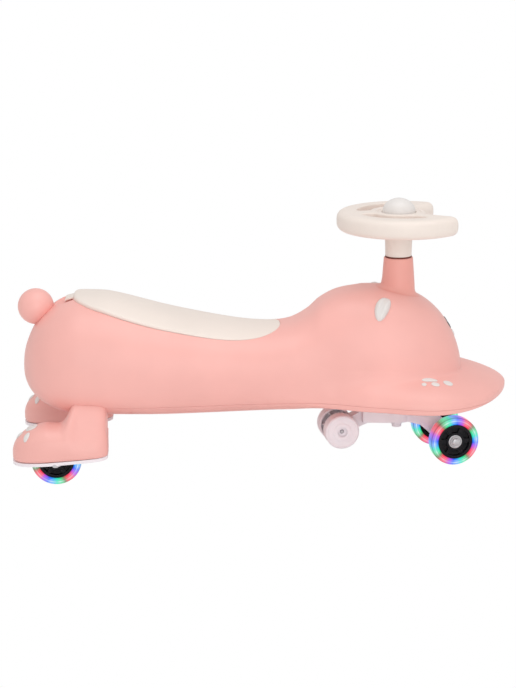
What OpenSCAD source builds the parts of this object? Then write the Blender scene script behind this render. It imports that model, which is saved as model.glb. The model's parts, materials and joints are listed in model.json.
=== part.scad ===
// Wiggle car: a ride-on toy that rolls forward as its steering wheel is twisted to and fro.
// Millimetres, +Z up, +X forward. The origin lies on the ground, midway along the car.

/* [Body shell] */
// Reach of the footrest brim ahead of the origin
brim_tip = 397; // [392:1:404]
// Reach of the rounded rear end behind the origin
tail_end = 387; // [378:1:396]
// Height of the flat belly above the ground
belly_z = 92; // [88:1:98]
// Height of the hip crest
hip_top = 281; // [274:1:290]
// Height of the lowest point of the saddle
saddle_top = 231; // [224:1:241]
// Height of the crown of the head
head_top = 290; // [282:1:300]
// Half-width of the hips
hip_half = 117; // [110:1:124]
// Half-width of the waist
waist_half = 88; // [82:1:94]
// Half-width of the head above the brim
head_half = 100; // [94:1:106]
// Half-width of the brim
brim_half = 147; // [140:1:156]
// Height of the brim's edge, where the shell and the pan meet
edge_z = 119; // [117:1:122]
// Depth from the brim's edge to its underside
edge_drop = 12; // [10:1:14]
// Height of the brim's domed top above its edge, where it runs into the head
brim_rise = 52; // [46:1:56]
// Wall of the shell and the pan
wall = 3; // [2.4:0.1:3.6]
// Diameter of the round tail
tail_d = 58; // [48:1:64]

/* [Seat and storage] */
// Half-width of the seat
seat_half = 78; // [72:1:84]
// Reach of the seat behind the origin, finger tab included
seat_rear = 317; // [310:1:322]
// Reach of the seat ahead of the origin
seat_front = 29; // [20:1:36]
// Thickness of the seat
seat_thick = 7; // [5:0.5:9]
// Height of the seat above the shell at its rear end
seat_proud = 6; // [4:0.5:8]
// Length of the finger tab at the rear end of the seat
tab_len = 13; // [10:1:16]
// Thickness of the finger tab
tab_thick = 3; // [2:0.5:4]
// Gap round the seat in its recess
seat_gap = 0.6; // [0.4:0.1:1]
// Length of the storage tub
tub_len = 190; // [150:1:205]
// Width of the storage tub
tub_width = 104; // [80:1:112]
// Wall of the storage tub
tub_wall = 2.5; // [2:0.1:3.5]
// Height of the floor of the tub above the ground
tub_z = 114; // [112:1:125]

/* [Steering column] */
// Place of the column ahead of the origin
column_x = 221; // [215:1:227]
// Turn of the steering at rest, to the left of straight ahead
steer_turn = 8; // [-30:1:30]
// Diameter of the steering shaft
shaft_d = 22; // [18:0.5:24]
// Height of the top of the neck
neck_top = 337; // [328:1:345]
// Radius of the neck at its top
neck_r_top = 23.5; // [23:0.1:25]
// Radius of the neck where it leaves the head
neck_r_base = 27; // [26:0.1:29]
// Radius of the collar at its upper end
collar_r = 22.3; // [20:0.1:24]

/* [Steering wheel] */
// Height of the middle of the rim
rim_z = 397; // [392:1:402]
// Radius of the rim at the middle of its grip
rim_r = 90; // [86:1:94]
// Width of the grip, seen from above
grip_w = 32; // [28:1:34]
// Height of the grip
grip_h = 31; // [26:1:34]
// Corner radius of the grip
grip_round = 11; // [8:0.5:13]
// Corner radius of the two front tips, seen from above
tip_round = 13; // [12:0.5:16]
// Angle from straight ahead to the sides of the open mouth between the tips
mouth_angle = 43; // [40:0.5:50]
// Distance of the floor of the mouth ahead of the middle of the rim
mouth_floor = 40; // [38:0.5:44]
// Radius of the hub
hub_r = 35; // [34:0.5:38]
// Radius of the horn button
button_r = 27; // [25:0.1:27.5]
// Height of the button's dome above the hub
button_h = 22; // [16:1:25]
// Travel of the horn button
button_travel = 4; // [2:0.5:5]

/* [Wheels] */
// Diameter of the wheels
wheel_d = 80; // [76:1:84]
// Width of the tyres
tyre_w = 24; // [22:1:26]
// Radius at which the tyre sits on its core
core_r = 28.5; // [27:0.5:30]
// Diameter of the axles
axle_d = 8; // [7:0.1:8.4]
// Outer diameter of the ball bearings
bearing_d = 22; // [20:0.5:23]
// Width of the ball bearings
bearing_w = 7; // [5:0.5:8]
// Number of spokes and lights in a wheel
spokes = 6; // [5:1:8]

/* [Yoke and rollers] */
// Distance of the front axle ahead of the column
front_reach = 81.5; // [78:0.5:86]
// Distance between the middles of the front wheels
front_track = 113; // [108:1:120]
// Distance of the roller axle behind the column
roller_reach = 99; // [94:1:104]
// Height of the roller axle
roller_z = 57; // [54:1:60]
// Diameter of the rollers
roller_d = 56; // [50:1:58]
// Width of a roller
roller_w = 22; // [18:1:25]
// Distance between the middles of the rollers
roller_track = 48; // [47:1:54]
// Width of the middle of the yoke
yoke_w = 46; // [40:1:50]
// Height of the underside of the yoke below the column
yoke_z = 65; // [62:1:68]

/* [Rear feet] */
// Reach of the toes behind the origin
toe_tip = 400; // [396:1:404]
// Reach of the heels behind the origin
heel_x = 250; // [244:1:254]
// Distance of the middle of each foot from the middle plane
foot_y = 110; // [104:1:114]
// Half-width of a foot
foot_half = 42; // [40:1:46]
// Height of the top of the toes
toe_top = 99; // [94:1:106]
// Height of the underside of the soles
sole_z = 38; // [36:1:40]
// Thickness of the soles
sole_t = 5; // [5:0.5:7]
// Distance of the rear axles behind the origin
rear_axle_x = 332; // [328:1:336]
// Distance between the middles of the rear wheels
rear_track = 212; // [208:1:216]

/* [Hidden] */
$fn = 64;

// Colours of the mouldings
pink = [0.95, 0.70, 0.66];
cream = [0.96, 0.91, 0.86];
white = [0.96, 0.95, 0.95];
lilac = [0.92, 0.88, 0.93];
black = [0.10, 0.10, 0.11];
steel = [0.72, 0.73, 0.75];
dark = [0.22, 0.19, 0.19];

// Radial gaps: a running fit, a fixed fit and room between loose pieces
run_gap = 0.05;
fit_gap = 0.04;
free_gap = 0.4;
// A cutter reaches this far past the face that it opens
past = 1;

// Places along the body: hips, saddle, waist, crown, cheeks, brow and widest brim
hip_x = -290;
saddle_x = 6;
waist_x = 86;
head_x = 165;
cheek_x = 200;
brow_x = 325;
brim_x = 262;
// Height of the widest line of the hips, to which the rear end closes
hip_mid = 166;
// Fall of the brim's edge from its tip to its sides
tip_lift = 13;
// Rounding between the brim and the head
brim_fillet = 12;
// Feet stand on the brim, so its skin is this many times as thick as the rest
tread = 2.5;

// Quarter of a superellipse: 1 at v = 0, falling to 0 at v = 1
function quarter(v, n) = v >= 1 ? 0 : pow(1 - pow(max(v, 0), n), 1 / n);
function mix(a, b, t) = a + (b - a) * t;
function unit(v) = v / norm(v);
// 0 below 0, 1 above 1, and a smooth rise between
function ramp(u) = let (c = max(0, min(1, u))) c * c * (3 - 2 * c);

// Smooth curve through a table of [place, value] rows
function row_of(t, x, i = 0) = i >= len(t) - 2 || x < t[i + 1][0] ? i : row_of(t, x, i + 1);
function slope_at(t, i) =
    let (a = max(i - 1, 0), b = min(i + 1, len(t) - 1))
    (t[b][1] - t[a][1]) / (t[b][0] - t[a][0]);
function along(t, x) =
    let (i = row_of(t, x))
    let (d = t[i + 1][0] - t[i][0])
    let (u = max(0, min(1, (x - t[i][0]) / d)))
    let (m = slope_at(t, i) * d, k = slope_at(t, i + 1) * d)
    t[i][1] * (1 + 2 * u) * pow(1 - u, 2) + m * u * pow(1 - u, 2)
    + t[i + 1][1] * u * u * (3 - 2 * u) + k * u * u * (u - 1);

// Lines along the body, from the hips forward
top_line = [
    [hip_x, hip_top],
    [-245, mix(saddle_top, hip_top, 0.94)],
    [-150, mix(saddle_top, hip_top, 0.48)],
    [-52, mix(saddle_top, hip_top, 0.11)],
    [saddle_x, saddle_top],
    [45, mix(saddle_top, head_top, 0.06)],
    [75, mix(saddle_top, head_top, 0.33)],
    [95, mix(saddle_top, head_top, 0.64)],
    [123, mix(saddle_top, head_top, 0.88)],
    [head_x, head_top]
];
half_line = [
    [hip_x, hip_half],
    [-150, mix(waist_half, hip_half, 0.84)],
    [-8, mix(waist_half, hip_half, 0.31)],
    [waist_x, waist_half],
    [140, mix(waist_half, head_half, 0.6)],
    [cheek_x, head_half]
];
reach_line = [
    [20, 0.7 * waist_half],
    [75, 0.93 * waist_half],
    [112, mix(waist_half, brim_half, 0.12)],
    [160, mix(waist_half, brim_half, 0.49)],
    [190, mix(waist_half, brim_half, 0.65)],
    [225, mix(waist_half, brim_half, 0.88)],
    [brim_x, brim_half]
];
mid_line = [[hip_x, hip_mid], [-52, 160], [40, 140], [112, edge_z]];
belly_line = [[hip_x, belly_z + 3], [-150, belly_z], [40, belly_z + 6], [112, edge_z - edge_drop]];
lower_power = [[hip_x, 2.6], [-52, 2.8], [60, 3.5], [140, 6]];
upper_power = [[hip_x, 2.4], [-52, 2.5], [60, 2.8], [head_x, 3]];

// Height of the brim's edge along the body
function edge_at(x) = edge_z + tip_lift * pow(max(0, (x - brim_x) / (brim_tip - brim_x)), 2);

// Height of the brim's top above its edge, on the middle plane, drawn in by an inset
function brim_high(x, inset) =
    max(0.3, brim_rise - inset) * quarter((x - brim_x) / (brim_tip - inset - brim_x), 1.3);

// Profile of the crown and of the brim ahead of it, drawn in by an inset
function crown_at(x, inset) =
    let (edge = edge_at(x))
    let (dome = (head_top - inset - edge) * quarter((x - head_x) / (brow_x - tread * inset - head_x), 2.5))
    edge + max(0.3, pow(pow(dome, 8) + pow(brim_high(x, tread * inset), 8), 1 / 8));

// The larger of two sizes, rounded off where they are alike
function blend(a, b, r) = (a + b + sqrt((a - b) * (a - b) + r * r)) / 2;

// One point of a half section: s runs from -1 at the belly over 0 at the widest line to 1 on top;
// a brim of some reach and height may stand out from the upper half
function section_point(s, half, top, belly, mid, low_n, up_n, reach = 0, brim = 1, fillet = 0) =
    let (a = 90 * (1 + s), b = 90 * pow(max(s, 0), 2.5))
    let (z = s <= 0 ? mid - (mid - belly) * pow(max(0, cos(a)), 2 / low_n)
                    : mid + (top - mid) * pow(sin(b), 2 / up_n))
    let (head = half * pow(max(0, cos(b)), 2 / up_n), rim = reach * quarter((z - mid) / brim, 2))
    [s <= 0 ? blend(half, reach, fillet) * pow(sin(a), 2 / low_n) : blend(head, rim, fillet * cos(b)), z];

// A point of the body's skin at place x, on its left side, drawn in by an inset
function skin(x, s, inset = 0) =
    let (rear = quarter((hip_x - x) / (tail_end + hip_x - inset), 2))
    let (front = quarter((x - brim_x) / (brim_tip - inset - brim_x), 1.9))
    let (keel = quarter((x - brim_x) / (brim_tip - inset - brim_x), 4))
    let (dome = quarter((x - cheek_x) / (brow_x - tread * inset - cheek_x), 2.6))
    let (half = (along(half_line, x) - inset) * rear * dome)
    let (reach = (along(reach_line, x) - tread * inset) * rear * front)
    let (fillet = max(0, brim_fillet - 3 * inset) * front * ramp((x - waist_x + 40) / 60))
    let (mid = along(mid_line, x) + edge_at(x) - edge_z)
    let (crown = x < head_x ? along(top_line, x) - inset : crown_at(x, inset))
    let (belly = along(belly_line, x) + inset + edge_at(x) - edge_z)
    let (yz = section_point(
        s, half, mix(mid, crown, rear), mix(mid, belly, rear * keel), mid,
        along(lower_power, x), along(upper_power, x), reach, max(0.3, brim_high(x, tread * inset)), fillet))
    [x, yz[0], yz[1]];

// Closed loft through rings of equal length, drawn to a point at each end
module loft(rings, first, last) {
    n = len(rings[0]);
    m = len(rings);
    points = concat([first], [for (r = rings) each r], [last]);
    end = m * n + 1;
    polyhedron(points, concat(
        [for (j = [0 : n - 1]) [0, 1 + j, 1 + (j + 1) % n]],
        [for (i = [0 : m - 2], j = [0 : n - 1]) [1 + i * n + j, 1 + (i + 1) * n + j,
            1 + (i + 1) * n + (j + 1) % n]],
        [for (i = [0 : m - 2], j = [0 : n - 1]) [1 + i * n + j, 1 + (i + 1) * n + (j + 1) % n,
            1 + i * n + (j + 1) % n]],
        [for (j = [0 : n - 1]) [1 + (m - 1) * n + j, end, 1 + (m - 1) * n + (j + 1) % n]]
    ));
}

// Sheet between two grids of points of the same size
module sheet(outer, inner) {
    m = len(outer) - 1;
    n = len(outer[0]) - 1;
    w = n + 1;
    k = (m + 1) * w;
    points = concat([for (r = outer) each r], [for (r = inner) each r]);
    grid = [for (i = [0 : m - 1], j = [0 : n - 1]) i * w + j];
    polyhedron(points, concat(
        [for (a = grid) [a, a + w, a + w + 1]],
        [for (a = grid) [a, a + w + 1, a + 1]],
        [for (a = grid) [k + a, k + a + w + 1, k + a + w]],
        [for (a = grid) [k + a, k + a + 1, k + a + w + 1]],
        [for (i = [0 : m - 1]) each wall_faces((i + 1) * w, i * w, k)],
        [for (i = [0 : m - 1]) each wall_faces(i * w + n, (i + 1) * w + n, k)],
        [for (j = [0 : n - 1]) each wall_faces(j, j + 1, k)],
        [for (j = [0 : n - 1]) each wall_faces(m * w + j + 1, m * w + j, k)]
    ));
}
function wall_faces(a, b, k) = [[a, b, k + b], [a, k + b, k + a]];

// Seat: corner of its top edge, finger tab, depth of the grid, rails that keep it over the tub
edge_roll = 1.2;
end_roll = 4;
tab_half = 22;
tab_step = 1.5;
seat_rows = 16;
seat_steps = [0, 0.04, 0.12, 0.3, 0.54, 0.77, 1];
tip_half = 4;
rest_gap = 0.3;
recess_over = 6;
rail_rows = 8;
rail_depth = 8;
rail_wall = 2.5;
rail_gap = 1.2;
deck_inset = seat_thick + 2 * rest_gap;
tab_x = tab_len - seat_rear;
seat_mid = (seat_front + tab_x) / 2;

// Storage tub
tub_x = -145;
tub_round = 24;
tub_floor = 4;
tub_top = hip_top + past;
mouth_gap = 0.5;
mouth_low = saddle_top - 60;
rail_from = tub_x - tub_len / 2 + tub_round;
rail_to = tub_x + tub_len / 2 - tub_round;
rail_y = tub_width / 2 - tub_wall - rail_gap;

// Screws, and the columns and posts that take them
screw_r = 2;
screw_head_r = 4.2;
screw_head_h = 3;
head_gap = 0.4;
column_r = 6.5;
column_spots = [[-215, 82], [20, 64], [150, 82], [316, 60]];
column_seat = edge_z - 4;
column_bite = 14;
post_r = 7.5;
post_seat = belly_z + 7;
post_spots = [for (i = [-1, 1], j = [-1, 1]) [tub_x + i * tub_len / 3, j * tub_width / 3]];
bolt_r = 3;
bolt_head_r = 5.5;
bolt_head_h = 4;
bolt_bite = 42;
bolt_post_r = 9;
bolt_seat = edge_z - 2;
bolt_spots = [[-290, 84], [-262, 84]];

// Round tail: middle, and direction of the screw that holds it
tail_at = [hip_x - 75, 0, hip_top - 16.3];
tail_lean = 135;
tail_boss_r = 9;
tail_boss_h = wall + 5;
tail_bite = 22;

// Steering column
shaft_r = shaft_d / 2;
pan_z = edge_z - edge_drop;
bush_wall = 4;
bush_r = shaft_r + bush_wall;
bush_len = 30;
flange_t = 3;
flange_r = bush_r + 6;
washer_t = 1.7;
washer_gap = 0.3;
yoke_top = pan_z - flange_t - washer_gap - washer_t;
boss_top = 150;
boss_r = 24;
boss_wall = 4.5;
spigot_h = 8;
sleeve_bore = bush_r + 1;
seat_r = boss_r - boss_wall;
top_bush_len = 28;
bush_lip_t = 2.6;
stud_r = 6;
shaft_foot = yoke_z + 7;
nut_r = 9.8;
nut_h = 8;
cap_h = 4.5;
crown_high = crown_at(column_x - neck_r_base, 0) + 2;
crown_low = crown_at(column_x + neck_r_base, 0) - wall - 6;

// Steering wheel
hub_top = rim_z + 14;
hub_low = rim_z - 13;
well_floor = rim_z - 2;
floor_t = 6;
well_r = button_r + 3.2;
button_ring_t = 3;
ring_z = hub_top - button_ring_t;
wheel_ahead = 6;
bay_round = 12;
slot_r = mouth_floor + wheel_ahead;
spoke_w = 28;
tip_w = 30;
slot_round = 7;
collar_z = neck_top + 4;
collar_draft = 1.1;

// Horn button and its spring
button_wall = 2;
button_lip = 2.4;
lip_top = ring_z - rest_gap;
spring_r = 13;
spring_wire = 0.8;
spring_turns = 5;
spring_top = hub_top + 5;
spring_seat_w = 2.4;

// Wheels, axles and rollers
axle_r = axle_d / 2;
bearing_r = bearing_d / 2;
tyre_round = min(6, (wheel_d / 2 - core_r) / 2);
core_inset = 2;
core_w = tyre_w - core_inset;
rim_wall = 4.5;
core_hub_wall = 3.5;
web_t = 6;
light_r = 2.6;
spacer_r = 7;
spacer_t = 2.5;
head_r = 6.6;
head_t = 5;
end_gap = 0.1;
crossbar_r = 13;
crossbar_half = (front_track - tyre_w) / 2 - spacer_t;
tongue_half = (roller_track - roller_w) / 2 - spacer_t;
tongue_r = 12;
roller_wall = 3;
roller_hub_r = 10.5;
roller_sink = 13;
roller_ribs = 6;

// Rear feet
toe_mid = sole_z + sole_t + 13;
toe_x = -338;
leg_top = 152;
leg_lean = 42;
ankle_from = -322;
ankle_to = -292;
sole_tilt = 3.4;
well_wide = tyre_w + 8;
well_deep = wheel_d / 2 + 4;
block_l = 22;
block_w = 9;
lug_r = axle_r + 3;
block_up = 12;
axle_half = well_wide / 2 + block_w;
pocket_gap = 1.5;
sole_spots = [[15, 0], [130, 18], [130, -18]];
sole_bite = 16;

// Raised marks
pad_lift = 0.15;
pad_edge = 0.6;
paw_sink = 1.2;

// Full ring of the body at place x for a list of s values
function body_ring(x, steps, inset) =
    let (side = [for (s = steps) skin(x, s, inset)])
    concat(side, [for (i = [len(side) - 2 : -1 : 1]) [x, -side[i][1], side[i][2]]]);

// Stations and section steps of a body loft, fine for the outer skin and coarser for the inner one
function body_places(inset, fine) =
    let (tail = tail_end + hip_x - inset, tip = brim_tip - inset, brow = brow_x - tread * inset)
    let (a = fine ? 7 : 5, b = 19, c = 10, d = fine ? 10 : 7)
    concat(
        [for (i = [1 : a]) hip_x - tail * cos(90 * i / (a + 1))],
        [for (i = [0 : b - 1]) mix(hip_x, head_x, i / b)],
        [for (i = [0 : c - 1]) mix(head_x, brow, sin(90 * i / c))],
        [for (i = [0 : d - 1]) mix(brow, tip, (1 - cos(180 * i / d)) / 2)]
    );
function body_steps(fine) =
    let (a = fine ? 6 : 4, b = fine ? 17 : 11)
    concat([for (i = [0 : a - 1]) i / a - 1], [for (i = [0 : b]) i / b]);

// The body's whole form, or the stretch of it between two places
module body_form(inset, fine = true, from = -2 * tail_end, to = 2 * brim_tip) {
    every = body_places(inset, fine);
    places = [for (x = every) if (x >= from && x <= to) x];
    last = places[len(places) - 1];
    first_x = places[0] == every[0] ? inset - tail_end : places[0];
    loft(
        [for (x = places) body_ring(x, body_steps(fine), inset)],
        [first_x, 0, hip_mid],
        last == every[len(every) - 1] ? [brim_tip - inset, 0, edge_z + tip_lift] : [last, 0, hip_mid]
    );
}

// Halving search for the place between a and b at which f turns from positive to negative
function solve(f, a, b, n = 24) =
    let (m = (a + b) / 2)
    n == 0 ? m : f(m) > 0 ? solve(f, m, b, n - 1) : solve(f, a, m, n - 1);

// The tops of the body and of a foot, seen from above: v runs to the right
body_top = function (x, v)
    let (s = solve(function (t) skin(x, t)[1] - abs(v), 0, 1))
    [x, -v, skin(x, s)[2]];
foot_top = function (x, v)
    let (s = solve(function (t) foot_skin(x, t)[1] - abs(v), 0, 1))
    [x, -v, foot_skin(x, s)[2]];

// Domed pad on a skin f(x, v), with its long axis turned in the skin and pressed in along it by fold
module pad(f, x, v, long, short, turn, thick, lift = pad_lift, fold = 0, rings = 2, n = 12, edge = pad_edge) {
    tx = f(x + 0.5, v) - f(x - 0.5, v);
    tv = f(x, v + 0.5) - f(x, v - 0.5);
    out = unit(cross(tv, tx));
    spots = concat([[0, 0]], [for (r = [1 : rings], k = [0 : n - 1]) [sin(90 * r / rings), 360 * k / n]]);
    base = [for (p = spots)
        let (a = long * p[0] * cos(p[1]), b = short * p[0] * sin(p[1]))
        f(x + (a * cos(turn) - b * sin(turn)) / norm(tx), v + (a * sin(turn) + b * cos(turn)) / norm(tv))
            + out * lift];
    crown = [for (i = [0 : len(spots) - 1])
        let (q = spots[i][0], w = q * sin(spots[i][1]))
        base[i] + out * mix(edge, thick, sqrt(max(0, 1 - q * q)) * (1 - fold * exp(-pow(3 * w, 2))))];
    m = len(spots);
    edges = [for (r = [0 : rings - 2], k = [0 : n - 1]) [1 + r * n + k, 1 + r * n + (k + 1) % n]];
    rim = [for (k = [0 : n - 1]) let (i = 1 + (rings - 1) * n) [i + k, i + (k + 1) % n]];
    polyhedron(concat(crown, base), concat(
        [for (k = [0 : n - 1]) [0, 1 + k, 1 + (k + 1) % n]],
        [for (e = edges) [e[0], e[0] + n, e[1] + n]],
        [for (e = edges) [e[0], e[1] + n, e[1]]],
        [for (k = [0 : n - 1]) [m, m + 1 + (k + 1) % n, m + 1 + k]],
        [for (e = edges) [m + e[0], m + e[1] + n, m + e[0] + n]],
        [for (e = edges) [m + e[0], m + e[1], m + e[1] + n]],
        [for (e = rim) [e[1], e[0], m + e[0]]],
        [for (e = rim) [e[1], m + e[0], m + e[1]]]
    ));
}

// Plain helpers
module round_rect(l, w, r) {
    square([l - 2 * r, w], center = true);
    square([l, w - 2 * r], center = true);
    for (x = [-1, 1], y = [-1, 1])
        translate([x * (l / 2 - r), y * (w / 2 - r)]) circle(r);
}
module left_right(left) {
    if (left) children();
    else mirror([0, 1, 0]) children();
}
module along_y(h) rotate([90, 0, 0]) linear_extrude(h, center = true) children();
module rod_y(r, h) rotate([90, 0, 0]) cylinder(r = r, h = h, center = true);
module tube(r_out, r_in, h) {
    difference() {
        cylinder(r = r_out, h = h);
        translate([0, 0, -past]) cylinder(r = r_in, h = h + 2 * past);
    }
}
module tube_y(r_out, r_in, h) rotate([90, 0, 0]) translate([0, 0, -h / 2]) tube(r_out, r_in, h);
// Rod from height a to height b at a place in plan
module rise(at, r, a, b) translate([at[0], at[1], a]) cylinder(r = r, h = b - a);
// Screw with its head seated at height z, pointing up
module screw_up(at, z, bite) {
    rise(at, screw_head_r, z - screw_head_h, z);
    rise(at, screw_r, z, z + bite);
}
function both_sides(spots) = [for (p = spots) each [p, [p[0], -p[1]]]];

// Seat outline, its rise above the shell, and a row of points over the body's top from edge to edge
function seat_width(x, grow) =
    grow + max(x < seat_mid ? tab_half : tip_half,
        seat_half * quarter(abs(x - seat_mid) / (seat_front - seat_mid), 2.8));
function seat_rise(x) =
    seat_proud * max(0, along(top_line, min(x, saddle_x)) - saddle_top) / (hip_top - saddle_top)
    - end_roll * pow(max(0, 1 - (x - tab_x) / 10), 2);
function width_step(x, y) =
    let (half = along(half_line, x) * quarter((hip_x - x) / (tail_end + hip_x), 2))
    pow(acos(pow(min(0.98, y / half), along(upper_power, x) / 2)) / 90, 1 / 2.5);
function over_top(x, y, inset, roll = 0) =
    let (edge = width_step(x, y), n = len(seat_steps) - 1)
    [for (j = [0 : 2 * n])
        let (u = seat_steps[j <= n ? j : 2 * n - j])
        let (p = skin(x, mix(edge, 1, u), inset + roll * pow(max(0, 1 - u / seat_steps[2]), 2)))
        [x, (j <= n ? 1 : -1) * p[1], p[2]]];
function seat_places(grow) = concat(
    [for (t = [0, 0.2, 0.6]) mix(-seat_rear - grow, tab_x, t)],
    [for (d = [-tab_step, tab_step, 4, 9, 20]) tab_x + d],
    [for (i = [1 : seat_rows])
        mix(tab_x + 9, seat_front, sin(90 * i / seat_rows)) + (i < seat_rows ? 0 : grow)]
);
module seat_block(grow, high, low) {
    places = seat_places(grow);
    sheet([for (x = places) over_top(x, seat_width(x, grow), high)],
        [for (x = places) over_top(x, seat_width(x, grow), low)]);
}
module seat_rail(y_out, y_in) {
    places = [for (i = [0 : rail_rows]) mix(rail_from, rail_to, i / rail_rows)];
    sheet(
        [for (x = places) [for (y = [y_out, y_in]) skin(x, width_step(x, y), seat_thick - past)]],
        [for (x = places) [for (y = [y_out, y_in]) skin(x, width_step(x, y), seat_thick + rail_depth)]]
    );
}

// Frames of the steering, the wheels, the rollers and the tail
module steer() translate([column_x, 0, 0]) rotate([0, 0, steer_turn]) children();
function side(left) = left ? 1 : -1;
module front_wheel(left)
    steer() translate([front_reach, side(left) * front_track / 2, wheel_d / 2]) children();
module rear_wheel(left)
    translate([-rear_axle_x, side(left) * rear_track / 2, wheel_d / 2]) children();
module roller_place(left)
    steer() translate([-roller_reach, side(left) * roller_track / 2, roller_z]) children();
module tail_axis() translate(tail_at) rotate([0, tail_lean, 0]) children();
tail_seat = solve(
    function (d) tail_at[2] + d * cos(tail_lean) - skin(tail_at[0] + d * sin(tail_lean), 1)[2], 0, tail_d);

// Inside of the body, less what stands in it
module hollow() body_form(wall, false);
module columns() for (p = both_sides(column_spots)) rise(p, column_r, belly_z, hip_top);
module tail_boss()
    tail_axis() translate([0, 0, tail_seat - past]) cylinder(r = tail_boss_r, h = tail_boss_h + past);

module upper_shell() {
    color(pink)
    difference() {
        intersection() {
            body_form(0);
            translate([-tail_end - past, -2 * brim_half, edge_z])
                cube([tail_end + brim_tip + 2 * past, 4 * brim_half, head_top]);
        }
        difference() {
            hollow();
            seat_block(seat_gap + wall, -past, deck_inset + wall);
            columns();
            tail_boss();
        }
        seat_block(seat_gap, -recess_over, deck_inset);
        translate([tub_x, 0, mouth_low])
            linear_extrude(tub_top - mouth_low)
            round_rect(tub_len + 2 * mouth_gap, tub_width + 2 * mouth_gap, tub_round + mouth_gap);
        rise([column_x, 0], neck_r_base + free_gap / 2, edge_z, head_top + past);
        for (p = both_sides(column_spots)) rise(p, screw_r + fit_gap, edge_z - past, edge_z + column_bite);
        tail_axis() translate([0, 0, -past])
            cylinder(r = screw_r + fit_gap, h = tail_seat + tail_boss_h + 2 * past);
    }
}

module base_pan() {
    color(pink)
    difference() {
        union() {
            difference() {
                intersection() {
                    body_form(0);
                    translate([-tail_end - past, -2 * brim_half, 0])
                        cube([tail_end + brim_tip + 2 * past, 4 * brim_half, edge_z]);
                }
                difference() {
                    hollow();
                    columns();
                    for (p = post_spots) rise(p, post_r, belly_z, tub_z);
                    for (p = both_sides(bolt_spots)) rise(p, bolt_post_r, belly_z, bolt_seat);
                }
            }
            rise([column_x, 0], boss_r, pan_z + wall / 2, boss_top);
        }
        rise([column_x, 0], bush_r + fit_gap, pan_z - past, boss_top);
        rise([column_x, 0], seat_r, boss_top - spigot_h, boss_top + past);
        for (p = both_sides(column_spots)) {
            rise(p, screw_head_r + head_gap, belly_z - past, column_seat);
            rise(p, screw_r + fit_gap, belly_z, edge_z + past);
        }
        for (p = post_spots) {
            rise(p, screw_head_r + head_gap, belly_z - past, post_seat);
            rise(p, screw_r + fit_gap, belly_z, tub_z + past);
        }
        for (p = both_sides(bolt_spots)) rise(p, bolt_r + fit_gap, belly_z, edge_z);
    }
}

module pan_screws() {
    color(steel) {
        for (p = both_sides(column_spots))
            screw_up(p, column_seat, edge_z - column_seat + column_bite - past);
        for (p = post_spots) screw_up(p, post_seat, tub_z - post_seat + tub_floor - past);
    }
}

module neck_sleeve() {
    color(pink)
    translate([column_x, 0, 0])
    rotate_extrude()
    polygon([
        [sleeve_bore, boss_top - spigot_h],
        [seat_r - fit_gap, boss_top - spigot_h],
        [seat_r - fit_gap, boss_top],
        [boss_r, boss_top],
        [boss_r, crown_low - 6],
        [neck_r_base, crown_low],
        [neck_r_base, crown_high],
        [neck_r_top, neck_top - 1],
        [neck_r_top - 1, neck_top],
        [seat_r, neck_top],
        [seat_r, neck_top - top_bush_len],
        [sleeve_bore, neck_top - top_bush_len]
    ]);
}

module upper_bush() {
    color(black)
    translate([column_x, 0, 0])
    rotate_extrude()
    polygon([
        [shaft_r + run_gap, neck_top - top_bush_len],
        [seat_r - fit_gap, neck_top - top_bush_len],
        [seat_r - fit_gap, neck_top],
        [neck_r_top - 2, neck_top],
        [neck_r_top - 2, neck_top + bush_lip_t],
        [shaft_r + run_gap, neck_top + bush_lip_t]
    ]);
}

module lower_bush() {
    color(black)
    translate([column_x, 0, 0])
    rotate_extrude()
    polygon([
        [shaft_r + run_gap, pan_z - flange_t],
        [flange_r, pan_z - flange_t],
        [flange_r, pan_z],
        [bush_r, pan_z],
        [bush_r, pan_z + bush_len],
        [shaft_r + run_gap, pan_z + bush_len]
    ]);
}

module storage_tub() {
    color(white)
    difference() {
        intersection() {
            translate([tub_x, 0, tub_z])
                linear_extrude(tub_top - tub_z) round_rect(tub_len, tub_width, tub_round);
            body_form(deck_inset + rest_gap, true, tub_x - tub_len, tub_x + tub_len);
        }
        translate([tub_x, 0, tub_z + tub_floor])
            linear_extrude(tub_top - tub_z)
            round_rect(tub_len - 2 * tub_wall, tub_width - 2 * tub_wall, tub_round - tub_wall);
        for (p = post_spots) rise(p, screw_r + fit_gap, tub_z - past, tub_z + tub_floor - past / 2);
    }
}

module tail_ball() {
    color(pink)
    difference() {
        translate(tail_at) sphere(d = tail_d);
        body_form(-pad_lift, true, -2 * tail_end, hip_x + tail_d);
        tail_axis() translate([0, 0, tail_seat - tail_bite])
            cylinder(r = screw_r + fit_gap, h = 2 * tail_bite);
    }
}
module tail_screw() {
    color(steel)
    tail_axis() {
        translate([0, 0, tail_seat + tail_boss_h]) cylinder(r = screw_head_r, h = screw_head_h);
        translate([0, 0, tail_seat - tail_bite + past]) cylinder(r = screw_r, h = tail_bite + tail_boss_h);
    }
}

module ear(left) {
    color(white)
    left_right(left)
    pad(body_top, 189, -67.5, 21, 11.5, 66, 9, fold = 0.35, rings = 4, n = 18);
}
module ear_left() ear(true);
module ear_right() ear(false);
module eyes() {
    color(black)
    for (left = [true, false])
        left_right(left) pad(body_top, 294, -18, 7.5, 5.5, 0, 2.2, rings = 3);
}
module muzzle() color(white) pad(body_top, 307, 0, 6, 8, 0, 2.2, rings = 3);
module paw_prints() {
    marks = [
        [261, 102.5, 12.6, 4.2, 0],
        [251, 112, 3.4, 3, 0],
        [269, 111.5, 6.5, 4, -5],
        [290, 103, 7.3, 4.6, -12]
    ];
    color(white)
    difference() {
        for (left = [true, false], m = marks)
            left_right(left) pad(body_top, m[0], -m[1], m[2], m[3], m[4], paw_sink + 2, lift = -paw_sink,
                edge = paw_sink + pad_edge);
        body_form(-pad_lift, true, brim_x - 50, brow_x);
    }
}

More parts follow.
